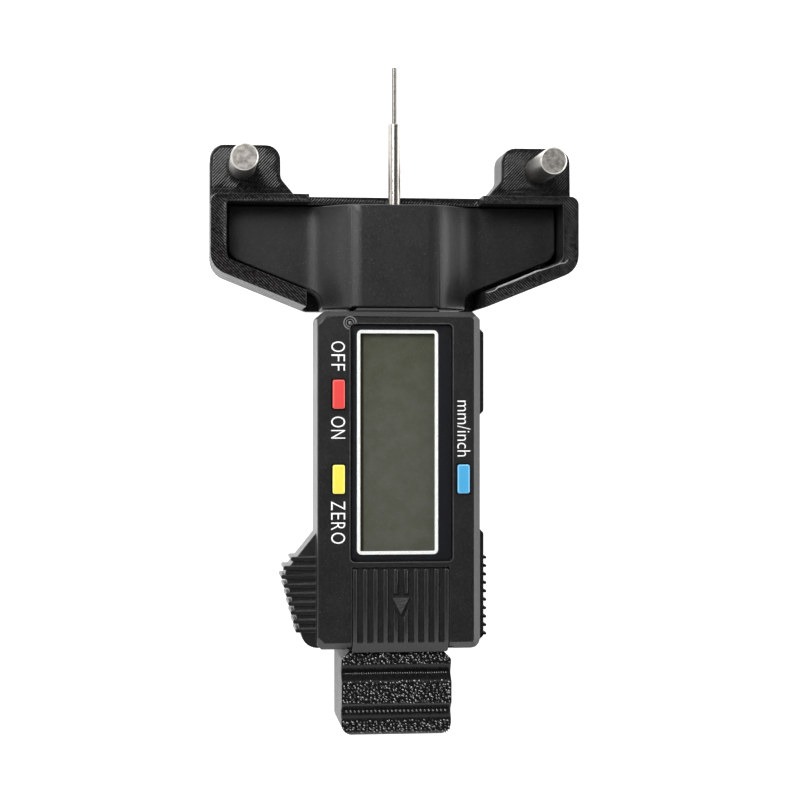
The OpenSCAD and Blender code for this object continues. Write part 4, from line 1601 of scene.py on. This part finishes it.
@dataclass
class Lettering:
    """The words beside the buttons."""

    thinning: float = -0.01
    labels: tuple[Label, ...] = (
        Label("OFF", -10.92, 2.48, ((-25.55, -27.45), (-27.9, -29.15), (-29.65, -30.85))),
        Label("ON", -10.92, 2.55, ((-39.2, -41.15), (-41.65, -43.2))),
        Label(
            "ZERO",
            -10.92,
            2.55,
            ((-54.6, -56.2), (-56.7, -57.95), (-58.45, -59.85), (-60.3, -62.3)),
        ),
    )
    unit_label: Label = Label("mm/inch", 12.12, 2.4, ((-36.3, -46.5),))

    def build(self) -> None:
        """Prints the words."""
        for label in self.labels:
            for number, (letter, span) in enumerate(zip(label.text, label.spans)):
                self.word(letter, f"label_{label.text.lower()}_{number + 1}", label, span)
        self.word(self.unit_label.text, "label_unit", self.unit_label, self.unit_label.spans[0])

    def word(self, text: str, name: str, label: Label, span: Pair) -> None:
        """Makes a letter or a word as a thin solid.

        Args:
            text: what it says.
            name: the piece's name.
            label: the word it belongs to.
            span: where it starts and ends on the way down.
        """
        curve = bpy.data.curves.new(name, "FONT")
        curve.body = text
        curve.size = 1.0
        curve.extrude = 0.5
        curve.offset = self.thinning
        curve.resolution_u = 6
        holder = bpy.data.objects.new(name + "_text", curve)
        bpy.context.scene.collection.objects.link(holder)
        bpy.context.view_layer.update()
        data = bpy.data.meshes.new_from_object(holder)
        bpy.data.objects.remove(holder)
        blank = Blank()
        blank.mesh.from_mesh(data)
        verts = blank.mesh.verts[:]
        low = Vector(min(v.co[i] for v in verts) for i in range(3))
        high = Vector(max(v.co[i] for v in verts) for i in range(3))
        size = high - low
        start, end = span
        bmesh.ops.translate(blank.mesh, verts=verts, vec=-(low + high) / 2.0)
        stretch = ((start - end) / size.x, label.height_mm / size.y, FILM_MM / size.z)
        bmesh.ops.scale(blank.mesh, verts=verts, vec=Vector(stretch) * MM)
        turn = Matrix.Rotation(-math.pi / 2.0, 3, "Z")
        bmesh.ops.rotate(blank.mesh, verts=verts, matrix=turn)
        centre = Vector((label.x_mm, (start + end) / 2.0, FACE_Z)) * MM
        bmesh.ops.translate(blank.mesh, verts=verts, vec=centre)
        blank.piece(name, "slide", LABEL_INK, "line_white", 60.0)


# ---------------------------------------------------------------- studio


@dataclass(frozen=True)
class Lamp:
    """One soft light."""

    name: str
    place: Triple
    size: Pair
    watts: float

    def build(self, target: Vector) -> None:
        """Hangs the light, turned to the target.

        Args:
            target: the point it shines on.
        """
        data = bpy.data.lights.new(self.name, "AREA")
        data.shape = "RECTANGLE"
        data.size, data.size_y = self.size
        data.energy = self.watts
        made = bpy.data.objects.new(self.name, data)
        made.location = self.place
        made.rotation_mode = "QUATERNION"
        made.rotation_quaternion = (target - Vector(self.place)).to_track_quat("-Z", "Y")
        bpy.context.scene.collection.objects.link(made)


@dataclass
class Studio:
    """The pale ground, the lights and the camera."""

    target: Triple = (0.0, -0.035, 0.01)
    camera_at: Triple = (-0.039, -0.0371, 0.389)
    camera_turn: float = -6.1
    focal_mm: float = 91.485
    sensor_mm: float = 36.0
    shift_y: float = 0.00625
    clip: Pair = (0.01, 10.0)
    ground_half: float = 3.0
    ground_z: float = -0.0001
    tent: float = 1.2
    overhead: float = 0.08
    tent_top: Pair = (0.4, 0.8)
    lamps: tuple[Lamp, ...] = (
        Lamp("key", (-0.26, 0.26, 0.56), (0.34, 0.34), 3.6),
        Lamp("side", (0.66, 0.0, 0.16), (0.7, 0.3), 2.4),
        Lamp("left", (-0.66, 0.0, 0.2), (0.5, 0.25), 0.4),
        Lamp("right", (0.32, 0.28, 0.46), (0.12, 0.12), 0.25),
        Lamp("back", (-0.35, 0.6, 0.12), (0.5, 0.25), 1.2),
        Lamp("front", (0.0, -0.7, 0.12), (0.7, 0.25), 0.2),
    )

    def build(self) -> None:
        """Builds the studio."""
        self.ground()
        for lamp in self.lamps:
            lamp.build(Vector(self.target))
        self.world()
        self.camera()

    def ground(self) -> None:
        """Lays the ground just under the gauge."""
        mesh = bmesh.new()
        bmesh.ops.create_grid(mesh, x_segments=2, y_segments=2, size=self.ground_half)
        data = bpy.data.meshes.new("ground")
        mesh.to_mesh(data)
        mesh.free()
        data.materials.append(GROUND.material())
        made = bpy.data.objects.new("ground", data)
        made.location.z = self.ground_z
        bpy.context.scene.collection.objects.link(made)

    def world(self) -> None:
        """Surrounds the gauge with a tent of pale light, open overhead."""
        world = bpy.data.worlds.new("tent")
        draft = Draft(world)
        _, _, height = draft.split(draft.node("ShaderNodeTexCoord", output="Generated"))
        wall = 1.0 - height.fade(*self.tent_top)
        strength = wall * (self.tent - self.overhead) + self.overhead
        values = {"Color": grey(1.0), "Strength": strength}
        glow = draft.node("ShaderNodeBackground", values=values)
        draft.finish(glow, "ShaderNodeOutputWorld")
        bpy.context.scene.world = world

    def camera(self) -> None:
        """Sets the camera where the photograph was taken from."""
        data = bpy.data.cameras.new("camera")
        data.lens = self.focal_mm
        data.sensor_width = self.sensor_mm
        data.shift_y = self.shift_y
        data.clip_start, data.clip_end = self.clip
        made = bpy.data.objects.new("camera", data)
        made.location = self.camera_at
        made.rotation_euler = (0.0, math.radians(self.camera_turn), 0.0)
        bpy.context.scene.collection.objects.link(made)
        bpy.context.scene.camera = made
        view = bpy.context.scene.view_settings
        view.view_transform = "Standard"
        view.look = "None"
        view.exposure = 0.0


def main() -> None:
    """Builds the gauge and the studio."""
    logging.basicConfig(level=logging.INFO, format="%(name)s %(message)s")
    Studio().build()
    for part in (
        Holder(),
        Crossbar(),
        Housing(),
        Probe(),
        Reading(),
        Electronics(),
        Keys(),
        BatteryCover(),
        ThumbBlock(),
        Lettering(),
    ):
        part.build()


if __name__ == "__main__":
    main()
